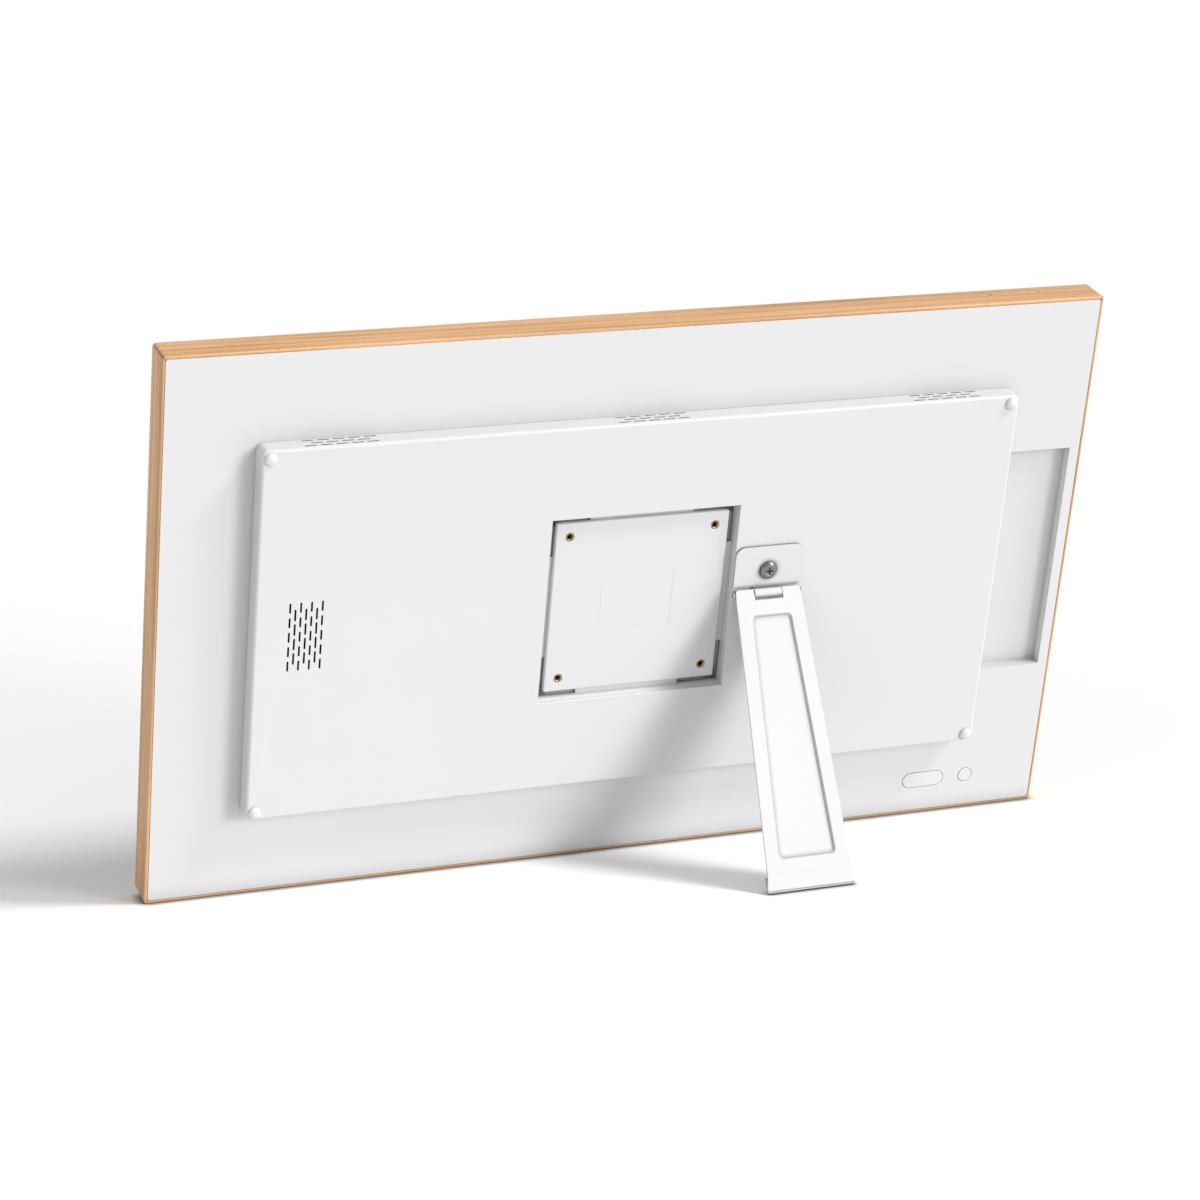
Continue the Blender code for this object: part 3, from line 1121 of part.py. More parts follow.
def stand_leg():
    """Tapered sheet with a notch for the knuckle, two ears on the pin and a pressed-in panel."""
    outer, inner = LEG_OFFSET, LEG_OFFSET - LEG_SHEET
    notch = KNUCKLE_WIDTH / 2 + LEG_NOTCH_SIDE
    top, notch_z = LEG_ABOVE_AXIS, LEG_ABOVE_AXIS - LEG_NOTCH_DEPTH
    r = LEG_CORNER
    outline = [(-LEG_HALF_END, -LEG_END), (LEG_HALF_END, -LEG_END), (LEG_HALF_BEND, -LEG_TO_BEND)]
    outline += arc((LEG_HALF_TOP - r, top - r), r, 0, 90, 4)
    outline += [(notch, top), (notch, notch_z), (-notch, notch_z), (-notch, top)]
    outline += arc((-LEG_HALF_TOP + r, top - r), r, 90, 180, 4)
    outline += [(-LEG_HALF_BEND, -LEG_TO_BEND)]
    leg = place("stand_leg", prism([outline], inner, outer), white_paint(), parent=HINGE_AXES)
    bulge = tapered_prism(recess_outline(0), inner + MM / 4, recess_outline(RECESS_SLOPE - LEG_SHEET / 2),
                          inner - RECESS_DEPTH)
    press = tapered_prism(recess_outline(RECESS_START - RECESS_SLOPE / 4), outer + MM / 4,
                          recess_outline(RECESS_SLOPE), outer - RECESS_DEPTH)
    join(leg, tool("add_pressed_bulge", bulge, HINGE_AXES))
    cut(leg, tool("cut_pressed_panel", press, HINGE_AXES))
    ears = []
    for side in (1, -1):
        x0, x1 = sorted((side * EAR_SIDE, side * (EAR_SIDE - LEG_SHEET)))
        tab = [(outer - LEG_SHEET / 2, -EAR_RADIUS - MM), (outer - LEG_SHEET / 2, EAR_RADIUS - EAR_STEP)]
        tab += arc((0, 0), EAR_RADIUS, 60, 250, 10)
        ears.append(prism([tab], x0, x1, axis="X"))
    join(leg, tool("add_ears", merged(*ears), HINGE_AXES))
    bore = rod((-LEAF_WIDTH, 0, 0), (LEAF_WIDTH, 0, 0), PIN_RADIUS + HOLE, 16)
    cut(leg, tool("cut_ear_bores", bore, HINGE_AXES))


def hinge_pin():
    """Pin with a rivet head outside each ear."""
    end = leg_half(PIN_HEAD_RADIUS) + GAP
    pin = place("hinge_pin", rod((-end - PIN_HEAD / 2, 0, 0), (end + PIN_HEAD / 2, 0, 0), PIN_RADIUS, 14),
                bare_steel(), parent=HINGE_AXES)
    heads = [rod((s * end, 0, 0), (s * (end + PIN_HEAD), 0, 0), PIN_HEAD_RADIUS, 16, PIN_HEAD_RADIUS * 0.7)
             for s in (1, -1)]
    join(pin, tool("add_pin_heads", merged(*heads), HINGE_AXES))


def foot_profile():
    """Section of the rubber foot in Y and Z: a pad on the inner side that wraps under the end."""
    inner, outer = LEG_OFFSET - LEG_SHEET, LEG_OFFSET
    back, low = inner - GAP - FOOT_PAD, -LEG_END - GAP - FOOT_TIP
    r = FOOT_RADIUS
    section = arc((back + r, low + r), r, 180, 270, 4) + arc((outer - r, low + r), r, 270, 360, 3)
    section += [(outer, -LEG_END - GAP), (inner - GAP, -LEG_END - GAP)]
    section += [(inner - GAP, -LEG_END + FOOT_PAD_HEIGHT), (back, -LEG_END + FOOT_PAD_HEIGHT)]
    return section


def foot_strip():
    half = LEG_HALF_END - GAP
    place("foot_strip", prism([foot_profile()], -half, half, axis="X"), rubber(), parent=HINGE_AXES)


# ---------------------------------------------------------------- how it stands
def lean_angle():
    """Lean at which the rounded rear bottom edge and the rounded foot touch one ground plane."""
    inner_foot = LEG_OFFSET - LEG_SHEET - GAP - FOOT_PAD + FOOT_RADIUS
    low_foot = -LEG_END - GAP - FOOT_TIP + FOOT_RADIUS
    foot_y = HINGE_Y + inner_foot * math.cos(STAND_OPEN) - low_foot * math.sin(STAND_OPEN)
    foot_z = HINGE_Z + inner_foot * math.sin(STAND_OPEN) + low_foot * math.cos(STAND_OPEN)
    across, up = foot_y + EDGE_RADIUS, foot_z + HALF_H - EDGE_RADIUS
    slope = math.atan2(up, across)
    lean = slope - math.asin((FOOT_RADIUS - EDGE_RADIUS) / math.hypot(across, up))
    return lean, foot_y, foot_z


def standing_place(lean, foot_y, foot_z):
    """Where the frame's axes go so that the ground is Z = 0 and the footprint is centred on Y = 0."""
    sine, cosine = math.sin(lean), math.cos(lean)
    ground = sine * EDGE_RADIUS + cosine * (EDGE_RADIUS - HALF_H) - EDGE_RADIUS
    front = cosine * (EDGE_RADIUS - FRAME_DEPTH) + sine * (EDGE_RADIUS - HALF_H) - EDGE_RADIUS
    reach = LEG_OFFSET - FOOT_RADIUS - (LEG_OFFSET - LEG_SHEET - GAP - FOOT_PAD + FOOT_RADIUS)
    tip_y, tip_z = foot_y + reach * math.cos(STAND_OPEN), foot_z + reach * math.sin(STAND_OPEN)
    rear = cosine * tip_y + sine * tip_z + FOOT_RADIUS
    return (0, -(front + rear) / 2, -ground)


clear_scene()
PARTS = make_collection("digital_photo_frame")
TOOLS = make_collection("cutters")
LEAN, FOOT_Y, FOOT_Z = lean_angle()
FRAME_AXES = make_empty("frame_axes", None, standing_place(LEAN, FOOT_Y, FOOT_Z), -LEAN)
HINGE_AXES = make_empty("hinge_axes", FRAME_AXES, (STAND_X, HINGE_Y, HINGE_Z), STAND_OPEN)
frame_rails()
corner_blocks()
display_stack()
backlight_pan()
rear_panel()
rear_case()
bumpers_and_case_screws()
vesa_mount()
main_board()
heat_sink()
sockets()
speaker()
microphone_board()
ribbons()
speaker_lead()
antenna()
rocker()
power_key()
switches()
stand_leaf()
stand_screw()
stand_leg()
hinge_pin()
foot_strip()
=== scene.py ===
"""Looks of the digital photo frame: fine meshes, materials, floor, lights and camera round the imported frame.

Pieces are drawn in the back panel's own axes (X across, Y out of the back, Z up the back, with the
origin at the middle of the panel's face) or in the leg's axes, whose origin is on the hinge pin and
whose Z runs up the leg. PANEL and LEG carry them into the row frame.
"""
import json
import math

import bmesh
import bpy
from mathutils import Matrix, Vector


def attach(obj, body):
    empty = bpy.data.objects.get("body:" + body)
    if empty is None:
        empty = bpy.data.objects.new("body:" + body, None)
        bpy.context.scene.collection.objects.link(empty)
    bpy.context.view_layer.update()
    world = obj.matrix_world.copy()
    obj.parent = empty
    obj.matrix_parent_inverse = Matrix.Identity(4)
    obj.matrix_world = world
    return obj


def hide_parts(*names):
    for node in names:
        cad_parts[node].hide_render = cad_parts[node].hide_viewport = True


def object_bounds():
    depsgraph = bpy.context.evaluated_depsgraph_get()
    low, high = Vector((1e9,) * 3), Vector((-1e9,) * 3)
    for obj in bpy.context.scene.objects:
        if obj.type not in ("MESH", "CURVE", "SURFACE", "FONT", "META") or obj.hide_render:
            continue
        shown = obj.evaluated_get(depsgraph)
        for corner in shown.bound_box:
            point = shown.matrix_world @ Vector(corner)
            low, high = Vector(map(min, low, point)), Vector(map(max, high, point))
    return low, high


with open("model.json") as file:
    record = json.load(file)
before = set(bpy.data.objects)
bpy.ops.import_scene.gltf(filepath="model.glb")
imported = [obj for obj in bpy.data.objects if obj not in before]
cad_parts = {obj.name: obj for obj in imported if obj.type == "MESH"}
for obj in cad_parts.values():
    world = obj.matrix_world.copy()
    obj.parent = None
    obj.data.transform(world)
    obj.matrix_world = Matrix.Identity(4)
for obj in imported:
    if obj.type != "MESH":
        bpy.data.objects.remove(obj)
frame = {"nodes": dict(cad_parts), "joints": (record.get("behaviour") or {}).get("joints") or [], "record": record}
CAD_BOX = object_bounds()
MM = 0.001

# ---- meshes, in general ----
WELD, FINE_WELD = 1e-6, 1e-7     # metres: points this close are one
FLAT_ANGLE = 0.4                 # degrees: faces that turn less than this are one flat stretch
SMOOTH_ANGLE = 35                # degrees: edges that turn more than this stay sharp in a piece
CORNER_ANGLE = 30                # degrees: edges that turn more than this are rounded
SQUARE_ANGLE = 50                # the same for pieces whose facets have to stay
LEG_ANGLE, PLATE_ANGLE = 38, 20  # the same for the leg and for the mounting plate
TURNED_SEGMENTS = 64

# ---- closeness ----
FACE_PLAY = 0.1 * MM             # a point this close to a face counts as lying on it
MITRE_PLAY = 0.3 * MM            # and this close to a mitre, as lying on that

# ---- wood surround ----
WOOD_EDGE = 0.2 * MM             # rounding of the rails' long edges
GLUE_HALF = 0.12 * MM            # half the thickness of the glue in a mitre
GLUE_OUTSIDE = 0.1 * MM          # glue to the outside of the rounded corner
GLUE_INSIDE = 0.4 * MM           # glue to the corner of the back panel
GLUE_FRONT, GLUE_BACK = 0.3 * MM, 0.02 * MM  # glue to the rails' faces
MIC_SPACING = 35.3 * MM          # between the two microphone holes of the top rail
MIC_BELOW_BACK = 14 * MM         # the holes' depth below the back
MIC_SINK = 0.3 * MM              # gauze below the rail's outer face
MIC_GAUZE_RADIUS, MIC_GAUZE_SHEET = 0.75 * MM, 0.3 * MM
MIC_GAUZE_SEGMENTS = 24

# ---- back panel and case ----
BAY_EDGE = 0.35 * MM             # rounding of the socket bay's rim
WELL_EDGE = 0.5 * MM             # rounding of the mounting recess's rim
WELL_NEAR, WELL_FAR = 1 * MM, 6 * MM  # the rim lies between these distances from the mounting plate's edge
CASE_SHEET = 2 * MM              # thickness of the case's walls
SLOT_PITCH = 10 * MM             # along every row or column of slots
SLOT_WIDTH_TOP, SLOT_WIDTH_FACE = 1.2 * MM, 1.3 * MM
SLOT_PLAY = 0.03 * MM            # the painted-shade fill to the walls of its slot
SHADE_FILL_SINK = 0.15 * MM           # near-black fill, painted shade in the slots, below the case's surface
VENT_ROWS = ((2.0 * MM, 5), (5.8 * MM, 4), (9.6 * MM, 5))  # height above the panel, number of slots
VENT_LENGTH = 8 * MM
VENT_OFFSET = 205.5 * MM         # middle group to an outer one
GRILLE_X = 224 * MM              # middle of the speaker slots
GRILLE_COLUMNS, GRILLE_PITCH = 7, 3.5 * MM
GRILLE_SLOTS = ((5, 7.2 * MM), (4, 8.2 * MM))  # number and length of slots, in an even and an odd column
TRAY_DEPTH = 5.2 * MM            # floor of the mounting recess below the plate's face
TRAY_REACH = 4.4 * MM            # from the plate's edge to the floor's outer edge
TRAY_SHEET = 0.6 * MM
TRAY_ARM, TRAY_WIDTH = 30 * MM, 8 * MM
TRAY_STEP = 0.1 * MM             # the upright arms are this much shorter
BUMPER_BASE = 0.3 * MM           # a dome's widest ring above the case
BUMPER_LIP = (0.15 * MM, 0.1 * MM)  # step in and step down from that ring
BUMPER_STEM = 2.9 * MM           # radius
BUMPER_STEPS, BUMPER_SEGMENTS = 10, 48

# ---- mounting plate ----
PLATE_ABOVE_PANEL = 8.4 * MM     # mounting plate's face above the back panel's face
PLATE_FLAT = 55 * MM             # the plate's rim lies beyond this distance from its middle
PLATE_EDGE = 0.3 * MM            # rounding of that rim
MARK_RISE = 0.05 * MM            # moulded marks above the plate's face
FIELD = (-24.6 * MM, 25 * MM, -17 * MM, 22 * MM)  # outline of the label field: x from, to, z from, to
FIELD_LINE, FIELD_STRONG = 0.18 * MM, 0.4 * MM
CENTRE_MARK = (50 * MM, 53 * MM)  # from and to, out from the plate's middle
CENTRE_MARK_HALF = 0.3 * MM
BORE = 1.65 * MM                 # radius of an insert's thread
THREAD_PITCH, THREAD_DEPTH = 0.7 * MM, 0.22 * MM
INSERT_EDGE = 0.25 * MM          # chamfer of an insert's flange
INSERT_RINGS = 0.28 * MM         # between the turning marks of an insert

# ---- stand ----
LEAF_EDGE = 0.3 * MM             # rounding of the hinge leaf's edges
LEAF_BOTTOM = 6.0 * MM           # lower end of the leaf's flat above the middle of the back
LEAF_SHADOW_EDGE = 0.05 * MM        # the near-black sheet under the hinge leaf, painted shadow round the leaf, shows this much round it
LEAF_SHADOW_SHEET = (0.02 * MM, 0.25 * MM)  # its two faces above the case
LEAF_SHADOW_CORNER = 6.1 * MM
SHEET_EDGE = 0.35 * MM           # rounding of the leg's edges
BEND_Z = -182.3 * MM             # bend of the foot lip below the hinge pin
BEND_HALF = 0.45 * MM
BEND_SINK = 0.10 * MM
BEND_PLAY = 0.01 * MM            # a point this close to the bend's middle sinks
LEG_SKIN = 0.2 * MM              # a point less than this below the leg's outer face belongs to that face
PIN_EDGE = 0.12 * MM
FOOT_EDGE = 0.15 * MM
SCREW_RISE = 2.6 * MM            # the stand screw's head above the leaf
SCREW_SHAFT = 2 * MM
SCREW_DISH = (0.46, 0.35 * MM)   # sunk middle of the head: share of the head's radius, depth
SCREW_CROWN = ((0.52, 0.15 * MM), (0.62, 0), (0.74, 0.1 * MM), (0.88, 0.6 * MM), (0.97, 1.2 * MM),
               (1.0, 1.8 * MM))  # share of the head's radius, depth below its top
SCREW_UNDER = ((0.97, 0.12 * MM), (0.93, 0.05 * MM))  # share of that radius, height above the leaf
SCREW_RINGS = 0.9 * MM           # between the turning marks of the head
CROSS_HALF = 2.5 * MM            # half the length of the screw's cross
CROSS_WIDTH = 1.15 * MM
CROSS_DEPTH = 1.2 * MM           # below the sunk middle
CROSS_STEPS = (0.05 * MM, 0.1 * MM)  # lower and upper end of the upright cutter above those of the flat one
CROSS_FLOORS = (0.35 * MM, 0.36 * MM)  # height of the near-black filling, painted shade in the recess, in the flat and in the upright bar
CROSS_SINK = 0.02 * MM           # the filling into the metal

# ---- front and sockets ----
GLASS_EDGE = 0.25 * MM
GLASS_BORDER = 4 * MM            # the printed border laps over the display by this much
SOCKET_EDGE = 0.15 * MM

# ---- tones ----
WHITE = (0.608, 0.608, 0.610)
COAT_WHITE = (0.590, 0.590, 0.592)
KEY_WHITE = (0.63, 0.63, 0.63)
BUMPER_WHITE = (0.63, 0.63, 0.63)
# tone of the recess floor, darkened to paint the shade in the recess corners
TRAY_SHADE_GREY = (0.30, 0.30, 0.30)
OAK_LIGHT = (0.700, 0.420, 0.215)
OAK_MIDDLE = (0.610, 0.350, 0.170)
OAK_DARK = (0.450, 0.230, 0.100)
OAK_PORE = (0.240, 0.110, 0.045)
GLUE_BROWN = (0.52, 0.30, 0.145)
BRASS = (0.50, 0.36, 0.20)
SCREW_GREY = (0.25, 0.25, 0.26)
RUBBER_GREY = (0.46, 0.46, 0.46)

# ---- darkening where nearby surfaces shut out the light: reach, share of the tone that is left ----
MOULDED_CREASE = (0.8 * MM, 0.85)
PANEL_CREASE = (13 * MM, 0.86)
COAT_CREASE = (3.5 * MM, 0.35)
COAT_CLOSED = 0.70               # openness at which the powder coat is darkest
FLOOR_CREASE = (7 * MM, (0.25, 0.25, 0.25))  # reach, tone

# ---- studio ----
SURROUND_LIGHT = 0.55            # brightness of the white surroundings
LAMPS = {                        # name: direction to the lamp, brightness on white card, spread in degrees
    "key": ((-0.615, 0.392, 0.684), 0.62, 13),
    "side": ((-0.62, 0.76, 0.20), 0.58, 22),
    "fill": ((0.90, 0.30, 0.25), 0.06, 40),
}
FLOOR_WHITE, FLOOR_DULL = (0.93, 0.93, 0.93), (0.915, 0.915, 0.915)
FLOOR_REACH = 40.0               # metres from the middle to an edge
FLOOR_DROP = 0.05 * MM           # floor below the frame's lowest point
CAMERA_PLACE, CAMERA_TARGET = (0.8690, 2.1078, 0.7108), (0.0231, -0.0098, 0.1822)
CAMERA_ROLL = -0.18              # degrees
CAMERA_LENS, CAMERA_SENSOR = 109.4, 36  # mm


# ---------------------------------------------------------------- axes
def axes(origin, across, out):
    """Matrix of a right-handed set of axes: X across, Y out, Z up."""
    up = across.cross(out)
    made = Matrix((across, out, up)).transposed().to_4x4()
    made.translation = origin
    return made


def find(items, name):
    return next(item for item in items if item["name"] == name)


PLATE_MOUNT = find(frame["record"]["mounts"], "mounting_plate_face")
FOLD = find(frame["joints"], "leg_fold")
OUT = Vector(PLATE_MOUNT["axis"]).normalized()
PANEL = axes(Vector(PLATE_MOUNT["pos_m"]) - OUT * PLATE_ABOVE_PANEL, Vector((1, 0, 0)), OUT)
LEG_OPEN = Matrix.Rotation(math.radians(FOLD["range_deg"][1]), 4, "X")
LEG = Matrix.Translation(FOLD["pos_m"]) @ PANEL.to_3x3().to_4x4() @ LEG_OPEN
LEAN = math.atan2(-OUT.z, OUT.y)                      # how far the back leans
LEG_TILT = math.radians(FOLD["range_deg"][1]) - LEAN  # the leg's slope as it stands


def extent(node, matrix=PANEL):
    """A node's lowest and highest corners along the given axes."""
    inverse = matrix.inverted()
    points = [inverse @ v.co for v in frame["nodes"][node].data.vertices]
    low = Vector(min(p[i] for p in points) for i in range(3))
    high = Vector(max(p[i] for p in points) for i in range(3))
    return low, high


def centre_of(node):
    low, high = extent(node)
    return (low + high) / 2


def outer_half():
    """Half the frame's width and half its height."""
    high = extent("frame_rail_top")[1]
    return high.x, high.z


# ---------------------------------------------------------------- materials
class Nodes:
    """Short names for the nodes of one material."""

    def __init__(self, name):
        self.material = bpy.data.materials.new(name)
        self.material.use_nodes = True
        self.tree = self.material.node_tree
        self.shader = self.tree.nodes["Principled BSDF"]

    def add(self, kind, links=(), **values):
        """A node with the given properties and input values, fed by (input, socket) pairs."""
        node = self.tree.nodes.new("ShaderNode" + kind)
        for key, value in values.items():
            if hasattr(node, key):
                setattr(node, key, value)
            else:
                node.inputs[key.replace("_", " ")].default_value = value
        for key, socket in links:
            self.tree.links.new(socket, node.inputs[key])
        return node

    def place(self, scale=(1, 1, 1), lean=0.0):
        """The piece's own coordinates, turned so that Z runs up the back or the leg, then stretched."""
        spot = self.add("TexCoord")
        turned = self.add("Mapping", [("Vector", spot.outputs["Object"])], Rotation=(lean, 0, 0))
        scaled = self.add("Mapping", [("Vector", turned.outputs["Vector"])], Scale=scale)
        return scaled.outputs["Vector"]

    def noise(self, where, scale, detail, roughness=0.5):
        made = self.add("TexNoise", [("Vector", where)], Scale=scale, Detail=detail, Roughness=roughness)
        return made.outputs["Fac"]

    def spread(self, value, low, high, start=0.0, end=1.0):
        """Maps start..end to low..high."""
        made = self.add("MapRange", [("Value", value)])
        for key, number in (("From Min", start), ("From Max", end), ("To Min", low), ("To Max", high)):
            made.inputs[key].default_value = number
        return made.outputs["Result"]

    def ramp(self, value, *stops):
        """Colours at positions 0..1."""
        made = self.add("ValToRGB", [("Fac", value)])
        ramp = made.color_ramp
        while len(ramp.elements) < len(stops):
            ramp.elements.new(0.5)
        for element, (position, colour) in zip(ramp.elements, stops):
            element.position = position
            element.color = (*colour, 1)
        return made.outputs["Color"]

    def mix(self, factor, first, second):
        """Mixes two colours. A plain number is a factor, and a tuple a colour."""
        made = self.add("Mix", data_type="RGBA")
        for index, value in ((0, factor), (6, first), (7, second)):
            if isinstance(value, bpy.types.NodeSocket):
                self.tree.links.new(value, made.inputs[index])
            else:
                made.inputs[index].default_value = (*value, 1) if isinstance(value, tuple) else value
        return made.outputs[2]

    def math(self, operation, first, second=0.0):
        made = self.add("Math", operation=operation)
        for index, value in enumerate((first, second)):
            if isinstance(value, bpy.types.NodeSocket):
                self.tree.links.new(value, made.inputs[index])
            else:
                made.inputs[index].default_value = value
        return made.outputs[0]

    def crease(self, colour, reach, dark, closed=0.45):
        """Darkens a colour where nearby surfaces shut out the light, fully where only `closed` is left."""
        shut = self.add("AmbientOcclusion", samples=6, Distance=reach).outputs["AO"]
        return self.mix(self.spread(shut, 1, 0, closed, 0.95), colour, dark)

    def bump(self, height, distance, strength, under=None):
        links = [("Height", height)] + ([("Normal", under)] if under else [])
        made = self.add("Bump", links, Distance=distance, Strength=strength)
        return made.outputs["Normal"]

    def finish(self, colour, roughness, normal=None, **constants):
        """Feeds the shader. Constants are set on its own sockets."""
        for key, value in (("Base Color", colour), ("Roughness", roughness), ("Normal", normal)):
            if isinstance(value, bpy.types.NodeSocket):
                self.tree.links.new(value, self.shader.inputs[key])
            elif value is not None:
                self.shader.inputs[key].default_value = (*value, 1) if isinstance(value, tuple) else value
        for key, value in constants.items():
            self.shader.inputs[key.replace("_", " ")].default_value = value
        return self.material


def shade(tone, share):
    return tuple(share * c for c in tone)


def moulded(name, tone, roughness=0.42, crease=MOULDED_CREASE):
    """White moulded plastic: spark-eroded grain, faint cloudy tone, small handling marks."""
    n = Nodes(name)
    where = n.place()
    cloud = n.noise(where, 9, 4)
    speck = n.noise(where, 2600, 2)
    scuff = n.noise(n.place((1, 1, 14), LEAN), 70, 5, 0.7)
    reach, left = crease
    colour = n.mix(n.spread(cloud, 0, 1, 0.35, 0.7), tone, shade(tone, 0.975))
    colour = n.mix(n.spread(speck, 0, 0.05, 0.45, 0.75), colour, shade(tone, 0.8))
    colour = n.crease(colour, reach, shade(tone, left))
    dust = n.spread(scuff, 0, 0.10, 0.62, 0.85)
    rough = n.math("ADD", n.spread(cloud, roughness - 0.05, roughness + 0.06, 0.3, 0.7), dust)
    normal = n.bump(speck, 0.02 * MM, 0.25, n.bump(cloud, 0.3 * MM, 0.05))
    return n.finish(colour, rough, normal, Specular_IOR_Level=0.42)


def powder_coat(name, tone):
    """White powder coat over sheet steel: orange peel, with a soft sheen and a few rubbed spots."""
    n = Nodes(name)
    where = n.place()
    peel = n.noise(where, 650, 2)
    fine = n.noise(where, 2400, 2)
    cloud = n.noise(where, 12, 3)
    rubbed = n.noise(n.place((1, 1, 8), -LEG_TILT), 90, 5, 0.7)
    colour = n.mix(n.spread(cloud, 0, 1, 0.35, 0.7), tone, shade(tone, 0.985))
    colour = n.mix(n.spread(rubbed, 0, 0.10, 0.66, 0.85), colour, shade(tone, 0.75))
    reach, left = COAT_CREASE
    colour = n.crease(colour, reach, shade(tone, left), COAT_CLOSED)
    rough = n.spread(n.mix(0.5, peel, cloud), 0.48, 0.60, 0.35, 0.65)
    normal = n.bump(peel, 0.05 * MM, 0.3, n.bump(fine, 0.01 * MM, 0.3))
    return n.finish(colour, rough, normal, Specular_IOR_Level=0.35)


def round_the_frame(n, node):
    """Coordinates on a rail: X along the rails and round the corners, Y out of the back, Z out of the rail."""
    middle = centre_of(node)
    half_w, half_h = outer_half()
    if abs(middle.z) > abs(middle.x):
        quarter, before, half = (0, 0, half_h) if middle.z > 0 else (2, 2, half_h)
    else:
        quarter, before, half = (-1, 1, half_w) if middle.x > 0 else (1, 3, half_w)
    along = before * (half_w + half_h)
    spot = n.add("TexCoord")
    level = n.add("Mapping", [("Vector", spot.outputs["Object"])], Rotation=(LEAN, 0, 0),
                  Location=tuple(PANEL.inverted().translation))
    turned = n.add("Mapping", [("Vector", level.outputs["Vector"])],
                   Rotation=(0, math.radians(90 * quarter), 0), Location=(along, 0, -half))
    return turned.outputs["Vector"]


def oak(name, node):
    """Oiled oak: straight grain that follows the rails round the corners, with fibres and open pores."""
    n = Nodes(name)
    where = round_the_frame(n, node)

    def stretched(share, place=(0, 0, 0)):
        made = n.add("Mapping", [("Vector", where)], Scale=(share, 1, 1), Location=place)
        return made.outputs["Vector"]

    drift = n.spread(n.noise(stretched(0.5), 12, 2), -0.5 * MM, 0.5 * MM, 0.25, 0.75)
    shift = n.add("CombineXYZ", [("Y", drift), ("Z", drift)]).outputs["Vector"]
    bent = n.add("VectorMath", [(0, stretched(0.012)), (1, shift)], operation="ADD").outputs["Vector"]
    bands = n.noise(bent, 300, 2, 0.45)
    lines = n.noise(bent, 850, 3, 0.6)
    fibres = n.noise(stretched(0.05), 1500, 3, 0.6)
    pores = n.noise(stretched(0.09, (1, 2, 3)), 1900, 2, 0.5)
    cloud = n.noise(stretched(0.3), 30, 3)
    colour = n.ramp(bands, (0.36, OAK_LIGHT), (0.50, OAK_MIDDLE), (0.64, OAK_DARK))
    colour = n.mix(n.spread(lines, 0, 0.75, 0.50, 0.72), colour, OAK_DARK)
    colour = n.mix(n.spread(cloud, 0, 0.45, 0.35, 0.7), colour, OAK_LIGHT)
    colour = n.mix(n.spread(fibres, 0, 0.35, 0.5, 0.8), colour, OAK_DARK)
    dark_pore = n.spread(pores, 0, 0.6, 0.62, 0.72)
    colour = n.mix(dark_pore, colour, OAK_PORE)
    rough = n.math("ADD", n.spread(fibres, 0.42, 0.60, 0.3, 0.75), n.math("MULTIPLY", dark_pore, 0.2))
    height = n.math("SUBTRACT", n.math("MULTIPLY", lines, 0.6), n.math("MULTIPLY", dark_pore, 0.8))
    return n.finish(colour, rough, n.bump(height, 0.10 * MM, 0.6), Specular_IOR_Level=0.35)


def metal(name, tone, roughness, stretch):
    """Metal with a drawn or brushed grain and duller patches."""
    n = Nodes(name)
    lines = n.noise(n.place(stretch, LEAN), 900, 4, 0.6)
    cloud = n.noise(n.place(), 60, 3)
    colour = n.mix(n.spread(lines, 0, 0.35, 0.4, 0.7), tone, shade(tone, 0.7))
    colour = n.mix(n.spread(cloud, 0, 0.35, 0.5, 0.75), colour, shade(tone, 0.5))
    rough = n.spread(lines, roughness - 0.08, roughness + 0.12, 0.35, 0.7)
    return n.finish(colour, rough, n.bump(lines, 0.02 * MM, 0.35), Metallic=1.0)


def turned_metal(name, tone, roughness, centre, pitch, bore=0.0, relief=0.01 * MM):
    """Metal turned on a lathe: fine rings round an axis out of the back, and painted shade darkening any bore."""
    n = Nodes(name)
    spot = n.add("TexCoord")
    where = n.add("Mapping", [("Vector", spot.outputs["Object"])], vector_type="TEXTURE",
                  Location=tuple(centre), Rotation=(-LEAN, 0, 0)).outputs["Vector"]
    parts = n.add("SeparateXYZ", [("Vector", where)])
    radius = n.math("SQRT", n.math("ADD", n.math("POWER", parts.outputs["X"], 2.0),
                                   n.math("POWER", parts.outputs["Z"], 2.0)))
    wobble = n.math("MULTIPLY", n.noise(where, 600, 2), 0.35)
    rings = n.math("SINE", n.math("ADD", n.math("MULTIPLY", radius, 2 * math.pi / pitch), wobble))
    cloud = n.noise(where, 220, 3)
    colour = n.mix(n.spread(rings, 0, 0.25, -1, 1), tone, shade(tone, 0.7))
    colour = n.mix(n.spread(cloud, 0, 0.4, 0.5, 0.8), colour, shade(tone, 0.45))
    # painted shade: the colour inside the bore is darkened
    if bore:
        inside = n.spread(radius, 0.85, 0.0, bore, 1.2 * bore)
        colour = n.mix(inside, colour, shade(tone, 0.12))
    rough = n.spread(rings, roughness - 0.06, roughness + 0.08, -1, 1)
    return n.finish(colour, rough, n.bump(rings, relief, 0.5), Metallic=1.0)


def plastic(name, tone, roughness=0.5, grain=1800, shine=0.5):
    """Plain moulded plastic or rubber with a fine grain and dusty patches."""
    n = Nodes(name)
    speck = n.noise(n.place(), grain, 3)
    cloud = n.noise(n.place(), 45, 4)
    dusty = tuple(0.85 * c + 0.06 * shine for c in tone)
    colour = n.mix(n.spread(cloud, 0, 0.8, 0.4, 0.75), tone, dusty)
    rough = n.spread(cloud, roughness - 0.06, roughness + 0.10, 0.3, 0.7)
    return n.finish(colour, rough, n.bump(speck, 0.03 * MM, 0.4), Specular_IOR_Level=shine)


